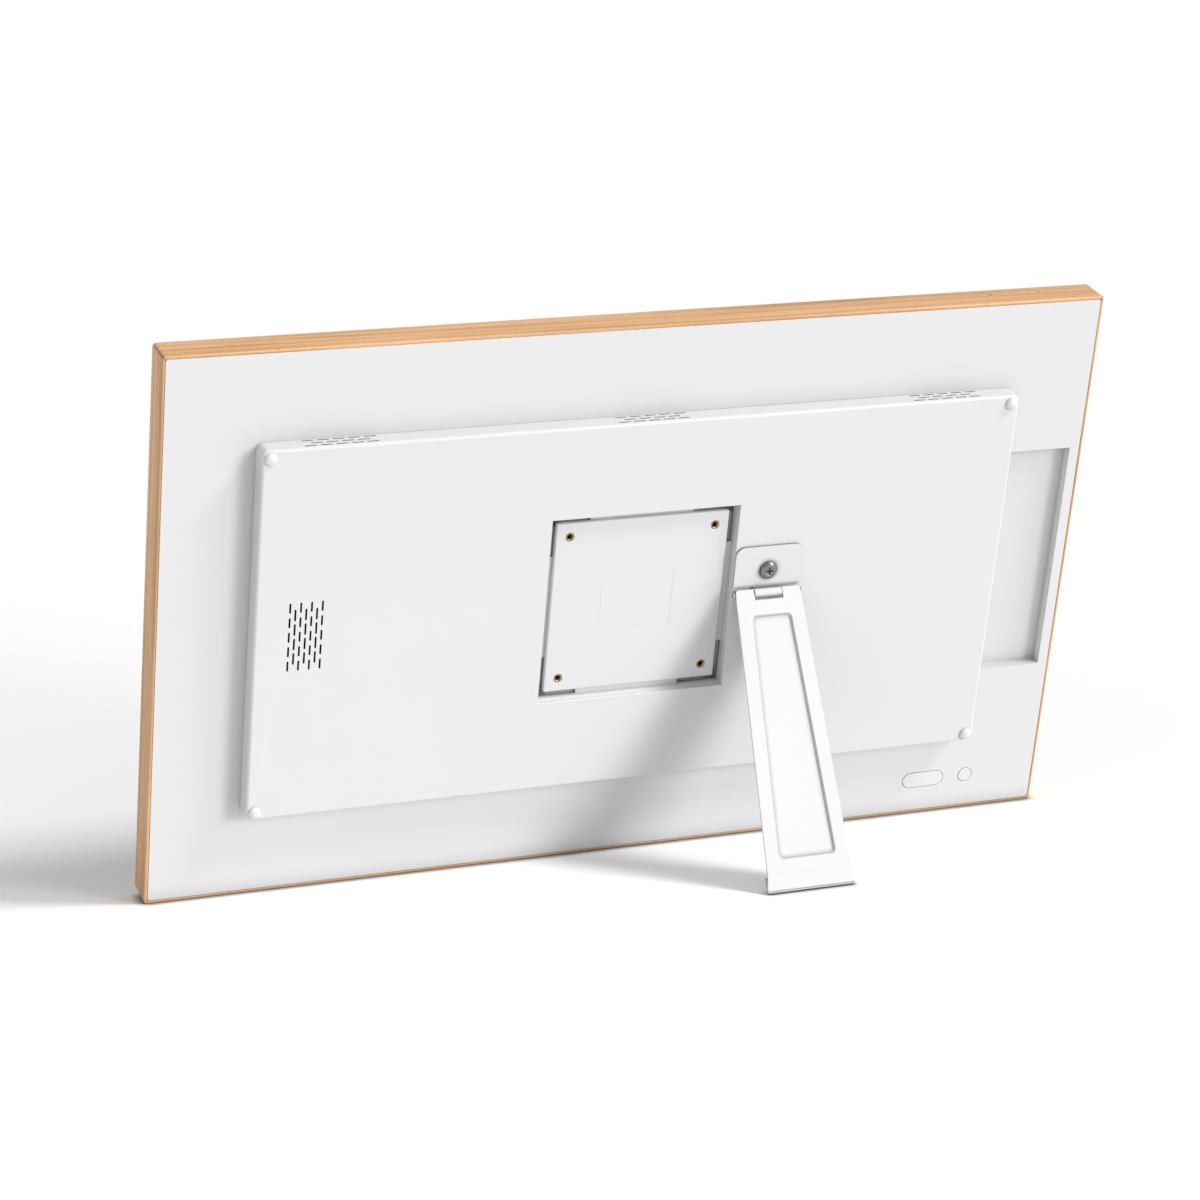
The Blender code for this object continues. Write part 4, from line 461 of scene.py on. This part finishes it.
def solder_mask(name):
    """Circuit board: mask over a maze of copper tracks, with bare pads here and there."""
    n = Nodes(name)
    where = n.place((1, 1, 1), LEAN)
    tracks = n.add("TexBrick", [("Vector", n.place((1, 1, 1), LEAN + math.pi / 2))], Scale=220.0,
                   Mortar_Size=0.012).outputs["Fac"]
    cloud = n.noise(where, 60, 2)
    pads = n.add("TexVoronoi", [("Vector", where)], Scale=260.0).outputs["Distance"]
    colour = n.mix(n.math("MULTIPLY", tracks, 0.6), (0.012, 0.120, 0.050), (0.030, 0.230, 0.100))
    colour = n.mix(n.spread(cloud, 0, 0.5, 0.4, 0.7), colour, (0.008, 0.085, 0.040))
    colour = n.mix(n.spread(pads, 1, 0, 0.10, 0.16), colour, (0.62, 0.60, 0.55))
    rough = n.spread(cloud, 0.28, 0.45, 0.3, 0.7)
    return n.finish(colour, rough, n.bump(tracks, 0.04 * MM, 0.4))


def film(name, tone):
    """Flat cable: parallel conductors under an amber film."""
    n = Nodes(name)
    lines = n.add("TexWave", [("Vector", n.place())], bands_direction="X", Scale=320.0,
                  Distortion=0.0).outputs["Fac"]
    cloud = n.noise(n.place(), 80, 3)
    colour = n.mix(n.spread(lines, 0, 0.7, 0.3, 0.8), tone, shade(tone, 0.55))
    rough = n.spread(cloud, 0.22, 0.40, 0.3, 0.7)
    return n.finish(colour, rough, n.bump(lines, 0.03 * MM, 0.4))


def cover_glass(name):
    """Dark cover glass over a screen that is off: a blacker printed border and faint finger marks."""
    n = Nodes(name)
    high = extent("lcd_cell")[1]
    spot = n.add("TexCoord")
    where = n.add("Mapping", [("Vector", spot.outputs["Object"])], vector_type="TEXTURE",
                  Location=tuple(PANEL.translation), Rotation=(-LEAN, 0, 0)).outputs["Vector"]
    parts = n.add("SeparateXYZ", [("Vector", where)])
    within = [n.math("LESS_THAN", n.math("ABSOLUTE", parts.outputs[axis]), half - GLASS_BORDER)
              for axis, half in (("X", high.x), ("Z", high.z))]
    inside = n.math("MULTIPLY", *within)
    smear = n.noise(n.add("Mapping", [("Vector", where)], Scale=(1, 1, 3)).outputs["Vector"], 14, 5, 0.7)
    dust = n.noise(where, 900, 2)
    colour = n.mix(inside, (0.004, 0.004, 0.005), (0.013, 0.014, 0.018))
    colour = n.mix(n.spread(dust, 0, 0.4, 0.72, 0.8), colour, (0.10, 0.10, 0.10))
    rough = n.spread(smear, 0.045, 0.16, 0.45, 0.75)
    return n.finish(colour, rough, n.bump(smear, 0.02 * MM, 0.05), Coat_Weight=0.6, Coat_Roughness=0.03)


# ---------------------------------------------------------------- pieces
def piece(name, mesh, finish, body, matrix=PANEL, stands_for=()):
    """Makes a bmesh, drawn in the given axes, a named piece that rides on a body."""
    mesh.transform(matrix)
    bmesh.ops.recalc_face_normals(mesh, faces=mesh.faces)
    data = bpy.data.meshes.new(name)
    mesh.to_mesh(data)
    mesh.free()
    data.shade_smooth()
    data.set_sharp_from_angle(angle=math.radians(SMOOTH_ANGLE))
    data.materials.append(finish)
    made = bpy.data.objects.new(name, data)
    bpy.context.scene.collection.objects.link(made)
    weighted = made.modifiers.new("flat_faces", "WEIGHTED_NORMAL")
    weighted.keep_sharp = True
    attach(made, body)
    if stands_for:
        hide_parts(*stands_for)
    return made


def node_mesh(node, matrix=PANEL):
    """A node's own mesh in the given axes, welded, with each flat stretch one face."""
    mesh = bmesh.new()
    mesh.from_mesh(frame["nodes"][node].data)
    mesh.transform(matrix.inverted())
    bmesh.ops.remove_doubles(mesh, verts=mesh.verts, dist=WELD)
    bmesh.ops.dissolve_limit(mesh, angle_limit=math.radians(FLAT_ANGLE), verts=mesh.verts, edges=mesh.edges)
    return mesh


def sharp_edges(mesh, pick, angle):
    return [e for e in mesh.edges if e.is_manifold and e.calc_face_angle(0) > math.radians(angle)
            and pick(e.verts[0].co) and pick(e.verts[1].co)]


def rounded(mesh, pick, width, segments=3, angle=CORNER_ANGLE):
    bmesh.ops.bevel(mesh, geom=sharp_edges(mesh, pick, angle), offset=width, segments=segments,
                    profile=0.5, affect="EDGES", clamp_overlap=True)
    return mesh


def anywhere(_point):
    return True


def revolve(profile, segments=TURNED_SEGMENTS):
    """Turned shape round Y from (radius, height) points that start and end on the axis, or close."""
    mesh = bmesh.new()
    verts = [mesh.verts.new((r, h, 0)) for r, h in profile]
    edges = [mesh.edges.new(pair) for pair in zip(verts, verts[1:])]
    bmesh.ops.spin(mesh, geom=verts + edges, cent=(0, 0, 0), axis=(0, 1, 0), angle=2 * math.pi,
                   steps=segments, use_merge=True)
    bmesh.ops.remove_doubles(mesh, verts=mesh.verts, dist=FINE_WELD)
    bmesh.ops.dissolve_degenerate(mesh, dist=FINE_WELD, edges=mesh.edges)
    return mesh


def moved(mesh, place):
    bmesh.ops.translate(mesh, vec=Vector(place), verts=mesh.verts)
    return mesh


def joined(*meshes):
    """Several meshes as one, still separate shells."""
    together = bmesh.new()
    for mesh in meshes:
        data = bpy.data.meshes.new("join")
        mesh.to_mesh(data)
        together.from_mesh(data)
        mesh.free()
        bpy.data.meshes.remove(data)
    return together


def bar(low, high):
    mesh = bmesh.new()
    bmesh.ops.create_cube(mesh, size=1)
    low, high = Vector(low), Vector(high)
    bmesh.ops.scale(mesh, vec=high - low, verts=mesh.verts)
    return moved(mesh, (low + high) / 2)


def finish_node(node, finish):
    """Gives a node that stays its own material."""
    slots = frame["nodes"][node].data.materials
    slots.clear()
    slots.append(finish)


# ---------------------------------------------------------------- wood surround
def surround():
    for side in ("top", "bottom", "left", "right"):
        wood("frame_rail_" + side)
    for number in range(1, 5):
        node = "corner_block_%d" % number
        finish_node(node, oak("oak_block_%d" % number, node))
    mitre_glue()
    mic_gauzes()


def wood(node):
    """A rail with its long edges softened and its mitres left tight."""
    mesh = node_mesh(node)
    half_w, half_h = outer_half()

    def on_mitre(point):
        return abs((half_w - abs(point.x)) - (half_h - abs(point.z))) < MITRE_PLAY

    edges = [e for e in sharp_edges(mesh, anywhere, SQUARE_ANGLE)
             if not all(on_mitre(v.co) for v in e.verts)]
    bmesh.ops.bevel(mesh, geom=edges, offset=WOOD_EDGE, segments=2, profile=0.5, affect="EDGES",
                    clamp_overlap=True)
    finish = oak(node.replace("frame_rail", "oak"), node)
    piece(node.replace("frame_rail", "oak_rail"), mesh, finish, "frame", stands_for=(node,))


def mitre_glue():
    """Brown glue line in each mitre, seen between the ends of two rails."""
    glue = plastic("wood_glue", GLUE_BROWN, 0.6, shine=0.2)
    low, high = extent("frame_rail_top")
    corner = Vector((high.x, 0, high.z))
    inverse = PANEL.inverted()
    points = [inverse @ v.co for v in frame["nodes"]["frame_rail_top"].data.vertices]
    near = min((corner - Vector((abs(p.x), 0, p.z))).length for p in points) + GLUE_OUTSIDE
    far = (high.x - extent("rear_panel")[1].x) * math.sqrt(2) - GLUE_INSIDE
    for number, (x, z) in enumerate(((1, 1), (1, -1), (-1, -1), (-1, 1)), 1):
        sheet = bar((-far, low.y + GLUE_FRONT, -GLUE_HALF), (-near, high.y - GLUE_BACK, GLUE_HALF))
        sheet.transform(Matrix.Rotation(math.atan2(-z, x), 4, "Y"))
        sheet = moved(sheet, (x * high.x, 0, z * high.z))
        piece("mitre_glue_%d" % number, sheet, glue, "frame")


def mic_gauzes():
    """Black gauze discs set just inside the two microphone holes of the top rail."""
    dark_fill = plastic("mic_gauze", (0.012, 0.010, 0.009), 0.9, 5000)
    top = extent("frame_rail_top")[1].z
    middle = centre_of("mic_board").x
    section = [(0, 0), (MIC_GAUZE_RADIUS, 0), (MIC_GAUZE_RADIUS, MIC_GAUZE_SHEET), (0, MIC_GAUZE_SHEET)]
    for number, side in enumerate((-1, 1), 1):
        disc = revolve(section, MIC_GAUZE_SEGMENTS)
        disc.transform(Matrix.Rotation(math.pi / 2, 4, "X"))
        disc = moved(disc, (middle + side * MIC_SPACING / 2, -MIC_BELOW_BACK, top - MIC_SINK))
        piece("mic_gauze_%d" % number, disc, dark_fill, "frame")


# ---------------------------------------------------------------- back
def back_panel():
    finish = moulded("white_moulding_panel", WHITE, crease=PANEL_CREASE)
    mesh = rounded(node_mesh("rear_panel"), lambda p: p.y > -FACE_PLAY, BAY_EDGE)
    piece("back_panel", mesh, finish, "frame", stands_for=("rear_panel",))


def back_case():
    finish = moulded("white_moulding_case", WHITE)
    face, plate_edge = extent("rear_case")[1].y, extent("vesa_plate")[1].x

    def on_well_rim(point):
        away = max(abs(point.x), abs(point.z)) - plate_edge
        return point.y > face - FACE_PLAY and WELL_NEAR < away < WELL_FAR

    mesh = rounded(node_mesh("rear_case"), on_well_rim, WELL_EDGE, 4)
    piece("back_case", mesh, finish, "frame", stands_for=("rear_case",))


def vent_shade_fills():
    """Near-black fill a little below the surface in each cooling slot of the case's top wall: painted shade that
    makes the slots read dark.
    """
    # near-black fill: painted shade inside the slots
    dark_fill = plastic("vent_shade_fill", (0.020, 0.020, 0.022), 0.9, 5000, shine=0.1)
    top = extent("rear_case")[1].z
    half_long, half_wide = VENT_LENGTH / 2 - SLOT_PLAY, SLOT_WIDTH_TOP / 2 - SLOT_PLAY
    for group, middle in enumerate((-VENT_OFFSET, 0, VENT_OFFSET), 1):
        slots = []
        for y, count in VENT_ROWS:
            for number in range(count):
                x = middle + (number - (count - 1) / 2) * SLOT_PITCH
                slots.append(bar((x - half_long, y - half_wide, top - CASE_SHEET),
                                 (x + half_long, y + half_wide, top - SHADE_FILL_SINK)))
        piece("vent_gauze_%d" % group, joined(*slots), dark_fill, "frame")


def speaker_shade_fill():
    """Near-black fill a little below the surface in each speaker slot of the case's face: painted shade that makes
    the slots read dark.
    """
    # near-black fill: painted shade inside the speaker slots
    dark_fill = plastic("speaker_shade_fill", (0.004, 0.004, 0.004), 0.9, 5000, shine=0.05)
    face, slots = extent("rear_case")[1].y, []
    for column in range(GRILLE_COLUMNS):
        x = GRILLE_X + (column - (GRILLE_COLUMNS - 1) / 2) * GRILLE_PITCH
        count, length = GRILLE_SLOTS[column % 2]
        half_long, half_wide = length / 2 - SLOT_PLAY, SLOT_WIDTH_FACE / 2 - SLOT_PLAY
        for number in range(count):
            z = (number - (count - 1) / 2) * SLOT_PITCH
            slots.append(bar((x - half_wide, face - CASE_SHEET, z - half_long),
                             (x + half_wide, face - SHADE_FILL_SINK, z + half_long)))
    piece("speaker_shade_fill", joined(*slots), dark_fill, "frame")


def recess_tray():
    """Floor of the mounting recess, seen in its four corners between the ledges, in a grey that paints the shade
    of those corners.
    """
    finish = moulded("tray_painted_shade", TRAY_SHADE_GREY)
    high = extent("vesa_plate")[1]
    reach, face = high.x + TRAY_REACH, high.y - TRAY_DEPTH
    strips = []
    for x in (-1, 1):
        for z in (-1, 1):
            for long, wide in ((TRAY_ARM, TRAY_WIDTH), (TRAY_WIDTH, TRAY_ARM - TRAY_STEP)):
                xs, zs = sorted((x * (reach - long), x * reach)), sorted((z * (reach - wide), z * reach))
                strips.append(bar((xs[0], face - TRAY_SHEET, zs[0]), (xs[1], face, zs[1])))
    piece("recess_tray", joined(*strips), finish, "frame")


def bumpers():
    """Soft domes over the case screws, each with a small rim where it meets the case."""
    finish = moulded("soft_white", BUMPER_WHITE, 0.5)
    base = extent("rear_case")[1].y + BUMPER_BASE
    for number in range(1, 5):
        node = "bumper_%d" % number
        low, high = extent(node)
        radius, rise = (high.x - low.x) / 2, high.y - base
        angles = [math.pi / 2 * i / BUMPER_STEPS for i in range(1, BUMPER_STEPS + 1)]
        dome = [(0, high.y)] + [(radius * math.sin(a), base + rise * math.cos(a)) for a in angles]
        lip, under = radius - BUMPER_LIP[0], base - BUMPER_LIP[1]
        stem = [(lip, under), (BUMPER_STEM, under), (BUMPER_STEM, low.y), (0, low.y)]
        centre = centre_of(node)
        mesh = moved(revolve(dome + stem, BUMPER_SEGMENTS), (centre.x, 0, centre.z))
        piece("soft_foot_%d" % number, mesh, finish, "frame", stands_for=(node,))


# ---------------------------------------------------------------- mounting plate
def mounting_plate():
    finish = moulded("white_moulding_plate", WHITE)
    face = extent("vesa_plate")[1].y

    def on_rim(point):
        return point.y > face - MM and max(abs(point.x), abs(point.z)) > PLATE_FLAT

    mesh = rounded(node_mesh("vesa_plate"), on_rim, PLATE_EDGE, angle=PLATE_ANGLE)
    piece("mounting_plate", mesh, finish, "frame", stands_for=("vesa_plate",))
    low, high = face - MARK_RISE, face + MARK_RISE
    x0, x1, z0, z1 = FIELD
    rails = [bar((x0, low, z0), (x0 + FIELD_STRONG, high + MARK_RISE, z1)),
             bar((x1 - FIELD_LINE, low, z0), (x1, high, z1)),
             bar((x0, low, z0), (x1, high, z0 + FIELD_LINE)),
             bar((x0, low, z1 - FIELD_LINE), (x1, high, z1))]
    piece("label_field_lines", joined(*rails), finish, "frame")
    start, end = CENTRE_MARK
    marks = [bar((-CENTRE_MARK_HALF, low, start), (CENTRE_MARK_HALF, high, end)),
             bar((start, low, -CENTRE_MARK_HALF), (end, high, CENTRE_MARK_HALF))]
    piece("centre_marks", joined(*marks), finish, "frame")


def insert_profile(outer, low, high):
    """Section of a threaded insert: chamfered flange, bored through, with thread grooves inside."""
    y = high - 2 * INSERT_EDGE
    points = [(BORE, low), (outer, low), (outer, high - INSERT_EDGE), (outer - INSERT_EDGE, high),
              (BORE + 2 * INSERT_EDGE, high), (BORE, y)]
    while y - THREAD_PITCH > low + INSERT_EDGE:
        points += [(BORE + THREAD_DEPTH, y - THREAD_PITCH / 2), (BORE, y - THREAD_PITCH)]
        y -= THREAD_PITCH
    return points + [(BORE, low)]


def inserts():
    for number in range(1, 5):
        node = "vesa_insert_%d" % number
        low, high = extent(node)
        centre = centre_of(node)
        mouth = PANEL @ Vector((centre.x, high.y, centre.z))
        finish = turned_metal("brass_%d" % number, BRASS, 0.30, mouth, INSERT_RINGS, BORE)
        mesh = moved(revolve(insert_profile((high.x - low.x) / 2, low.y, high.y)), (centre.x, 0, centre.z))
        piece("brass_insert_%d" % number, mesh, finish, "frame", stands_for=(node,))


# ---------------------------------------------------------------- stand
def stand():
    coat = powder_coat("white_powder_coat", COAT_WHITE)
    leaf = rounded(node_mesh("stand_plate"), anywhere, LEAF_EDGE, angle=SQUARE_ANGLE)
    piece("hinge_leaf", leaf, coat, "frame", stands_for=("stand_plate",))
    leaf_shadow_sheet()
    leg_piece(coat)
    pin_piece()
    screw_piece()
    foot = rounded(node_mesh("foot_strip", LEG), anywhere, FOOT_EDGE, 2, angle=SQUARE_ANGLE)
    piece("rubber_foot", foot, plastic("grey_rubber", RUBBER_GREY, 0.75), "leg", LEG,
          stands_for=("foot_strip",))


def leaf_shadow_sheet():
    """Thin near-black sheet between the hinge leaf and the case, with rounded upper corners: painted shadow that
    shows as a dark line round the leaf.
    """
    low, high = extent("stand_plate")
    case_face = extent("rear_case")[1].y
    under, over = (case_face + rise for rise in LEAF_SHADOW_SHEET)
    edge = LEAF_SHADOW_EDGE
    mesh = bar((low.x - edge, under, LEAF_BOTTOM), (high.x + edge, over, high.z + edge))
    corners = [e for e in mesh.edges if all(v.co.z > LEAF_BOTTOM + MM for v in e.verts)
               and abs(e.verts[0].co.x - e.verts[1].co.x) < WELD]
    bmesh.ops.bevel(mesh, geom=corners, offset=LEAF_SHADOW_CORNER, segments=10, profile=0.5, affect="EDGES")
    # near-black sheet: painted shadow that outlines the hinge leaf
    piece("leaf_shadow_sheet", mesh, plastic("leaf_shadow_grey", (0.06, 0.06, 0.06), 0.85), "frame")


def leg_piece(coat):
    """The pressed sheet leg, with a shallow crease where its foot lip is bent."""
    mesh = rounded(node_mesh("stand_leg", LEG), anywhere, SHEET_EDGE, angle=LEG_ANGLE)
    face = extent("stand_leg", LEG)[1].y
    for away in (-BEND_HALF, 0, BEND_HALF):
        everything = list(mesh.verts) + list(mesh.edges) + list(mesh.faces)
        bmesh.ops.bisect_plane(mesh, geom=everything, plane_co=(0, 0, BEND_Z + away), plane_no=(0, 0, 1))
    for vert in mesh.verts:
        if abs(vert.co.z - BEND_Z) < BEND_PLAY and vert.co.y > face - LEG_SKIN:
            vert.co.y -= BEND_SINK
    piece("sheet_leg", mesh, coat, "leg", LEG, stands_for=("stand_leg",))


def pin_piece():
    steel = metal("pin_steel", (0.62, 0.62, 0.64), 0.3, (0.2, 1, 1))
    mesh = rounded(node_mesh("hinge_pin", LEG), anywhere, PIN_EDGE, 2, angle=SQUARE_ANGLE)
    piece("rivet_pin", mesh, steel, "leg", LEG, stands_for=("hinge_pin",))


def screw_piece():
    """Pan head with a turned crown, a sunk middle and a cross recess with a near-black filling at its bottom,
    painted shade in the recess.
    """
    low, high = extent("stand_screw")
    middle = centre_of("stand_screw")
    x, z = middle.x, middle.z
    radius, top, seat = (high.x - low.x) / 2, high.y, high.y - SCREW_RISE
    finish = turned_metal("screw_steel", SCREW_GREY, 0.27, PANEL @ Vector((x, top, z)), SCREW_RINGS,
                          relief=0.04 * MM)
    dish, face = SCREW_DISH[0] * radius, top - SCREW_DISH[1]
    crown = [(share * radius, top - below) for share, below in SCREW_CROWN]
    under = [(share * radius, seat + above) for share, above in SCREW_UNDER]
    shaft = [(SCREW_SHAFT, under[-1][1]), (SCREW_SHAFT, low.y), (0, low.y)]
    head = moved(revolve([(0, face), (dish, face)] + crown + under + shaft), (x, 0, z))
    made = piece("cross_screw", head, finish, "frame", stands_for=("stand_screw",))
    deep = face - CROSS_DEPTH
    for cutter in cross(x, z, (deep, top), (deep + CROSS_STEPS[0], top + CROSS_STEPS[1])):
        cut(made, cutter)
    filling = cross(x, z, *((deep - CROSS_SINK, deep + height) for height in CROSS_FLOORS))
    # near-black filling: painted shade at the bottom of the cross recess
    piece("cross_recess", joined(*filling), plastic("cross_recess_shade", (0.010, 0.010, 0.011), 0.6), "frame")


def cross(x, z, flat, upright):
    """The two bars of the screw's cross. Their heights differ a little, so no two faces coincide."""
    long, wide = CROSS_HALF, CROSS_WIDTH / 2
    return [bar((x - long, flat[0], z - wide), (x + long, flat[1], z + wide)),
            bar((x - wide, upright[0], z - long), (x + wide, upright[1], z + long))]


def cut(made, cutter):
    """Takes a panel-axes cutter out of a finished piece and keeps the cut in its mesh."""
    cutter.transform(PANEL)
    bmesh.ops.recalc_face_normals(cutter, faces=cutter.faces)
    data = bpy.data.meshes.new("cutter")
    cutter.to_mesh(data)
    cutter.free()
    tool = bpy.data.objects.new("cutter", data)
    bpy.context.scene.collection.objects.link(tool)
    step = made.modifiers.new("cut", "BOOLEAN")
    step.operation, step.solver, step.object = "DIFFERENCE", "EXACT", tool
    bpy.context.view_layer.update()
    result = bpy.data.meshes.new_from_object(made.evaluated_get(bpy.context.evaluated_depsgraph_get()))
    made.modifiers.remove(step)
    made.data = result
    bpy.data.objects.remove(tool)


# ---------------------------------------------------------------- keys, sockets, inner pieces
def keys():
    finish = moulded("white_moulding_keys", KEY_WHITE, 0.38)
    finish_node("volume_rocker", finish)
    finish_node("power_button", finish)


def front():
    glass = rounded(node_mesh("front_glass"), anywhere, GLASS_EDGE, 2, angle=SQUARE_ANGLE)
    piece("cover_glass", glass, cover_glass("cover_glass"), "frame", stands_for=("front_glass",))


def inner_pieces():
    steel = metal("zinc_steel", (0.60, 0.61, 0.63), 0.34, (0.1, 1, 1))
    shell_steel = metal("tin_plate", (0.70, 0.70, 0.71), 0.25, (0.15, 1, 1))
    aluminium = metal("aluminium", (0.76, 0.77, 0.79), 0.36, (1, 1, 0.1))
    black = plastic("black_moulding", (0.018, 0.018, 0.020))
    board = solder_mask("solder_mask")
    amber = film("amber_film", (0.55, 0.28, 0.06))
    finishes = {
        steel: ["backlight_pan", "vesa_bracket", "stand_nut", "rocker_pin"]
        + ["%s_screw_%d" % (kind, n) for kind in ("case", "board") for n in range(1, 5)],
        aluminium: ["heat_sink"],
        black: ["glass_gasket", "speaker", "speaker_lead", "switch_volume_up", "switch_volume_down",
                "switch_power"],
        board: ["main_board", "mic_board", "button_board"],
        amber: ["display_ribbon", "button_ribbon", "wifi_antenna"],
        plastic("gasket_foam", (0.03, 0.03, 0.03), 0.9, 700): ["speaker_gasket"],
        plastic("dark_cell", (0.012, 0.012, 0.015), 0.2): ["lcd_cell"],
        plastic("clear_guide", (0.82, 0.85, 0.88), 0.15): ["light_guide"],
        plastic("strip_white", (0.8, 0.8, 0.78), 0.4): ["led_strip"],
    }
    for finish, nodes in finishes.items():
        for node in nodes:
            finish_node(node, finish)
    for node, finish, slot in (("dc_jack", black, "black_plastic"), ("usb_port", shell_steel, "steel"),
                               ("card_slot", shell_steel, "steel")):
        mesh = rounded(node_mesh(node), anywhere, SOCKET_EDGE, 2, angle=SQUARE_ANGLE)
        piece(node + "_shell", mesh, finish, "frame", stands_for=(node,))


# ---------------------------------------------------------------- studio
def floor():
    """Wide pale floor, level with the frame's lowest point."""
    n = Nodes("pale_floor")
    cloud = n.noise(n.place(), 0.8, 2)
    colour = n.mix(n.spread(cloud, 0, 1, 0.3, 0.7), FLOOR_WHITE, FLOOR_DULL)
    colour = n.crease(colour, *FLOOR_CREASE)
    finish = n.finish(colour, n.spread(cloud, 0.85, 0.95), Specular_IOR_Level=0.1)
    mesh = bmesh.new()
    bmesh.ops.create_grid(mesh, x_segments=1, y_segments=1, size=FLOOR_REACH)
    data = bpy.data.meshes.new("floor")
    mesh.to_mesh(data)
    mesh.free()
    data.materials.append(finish)
    made = bpy.data.objects.new("floor", data)
    bpy.context.scene.collection.objects.link(made)
    made.location = (0, 0, CAD_BOX[0].z - FLOOR_DROP)


def studio():
    """Even white surroundings, two broad soft lights from behind and one side, and a weak fill."""
    world = bpy.data.worlds.new("studio")
    world.use_nodes = True
    background = world.node_tree.nodes["Background"]
    background.inputs["Color"].default_value = (1, 1, 1, 1)
    background.inputs["Strength"].default_value = SURROUND_LIGHT
    bpy.context.scene.world = world
    for name, (towards, brightness, spread) in LAMPS.items():
        lamp = bpy.data.lights.new(name, "SUN")
        lamp.angle = math.radians(spread)
        lamp.energy = brightness * math.pi
        made = bpy.data.objects.new(name, lamp)
        bpy.context.scene.collection.objects.link(made)
        made.rotation_euler = (-Vector(towards)).to_track_quat("-Z", "Y").to_euler()
    floor()
    bpy.context.scene.view_settings.view_transform = "Standard"


def camera():
    """Behind the frame, to the side of the leg and a little above it."""
    lens = bpy.data.cameras.new("camera")
    lens.sensor_width = CAMERA_SENSOR
    lens.lens = CAMERA_LENS
    lens.clip_end = 100
    made = bpy.data.objects.new("camera", lens)
    bpy.context.scene.collection.objects.link(made)
    place, target = Vector(CAMERA_PLACE), Vector(CAMERA_TARGET)
    roll = Matrix.Rotation(math.radians(CAMERA_ROLL), 4, "Z")
    look = (target - place).to_track_quat("-Z", "Y").to_matrix().to_4x4()
    made.matrix_world = Matrix.Translation(place) @ look @ roll
    bpy.context.scene.camera = made


camera()
surround()
back_panel()
back_case()
vent_shade_fills()
speaker_shade_fill()
recess_tray()
bumpers()
mounting_plate()
inserts()
stand()
keys()
front()
inner_pieces()
studio()
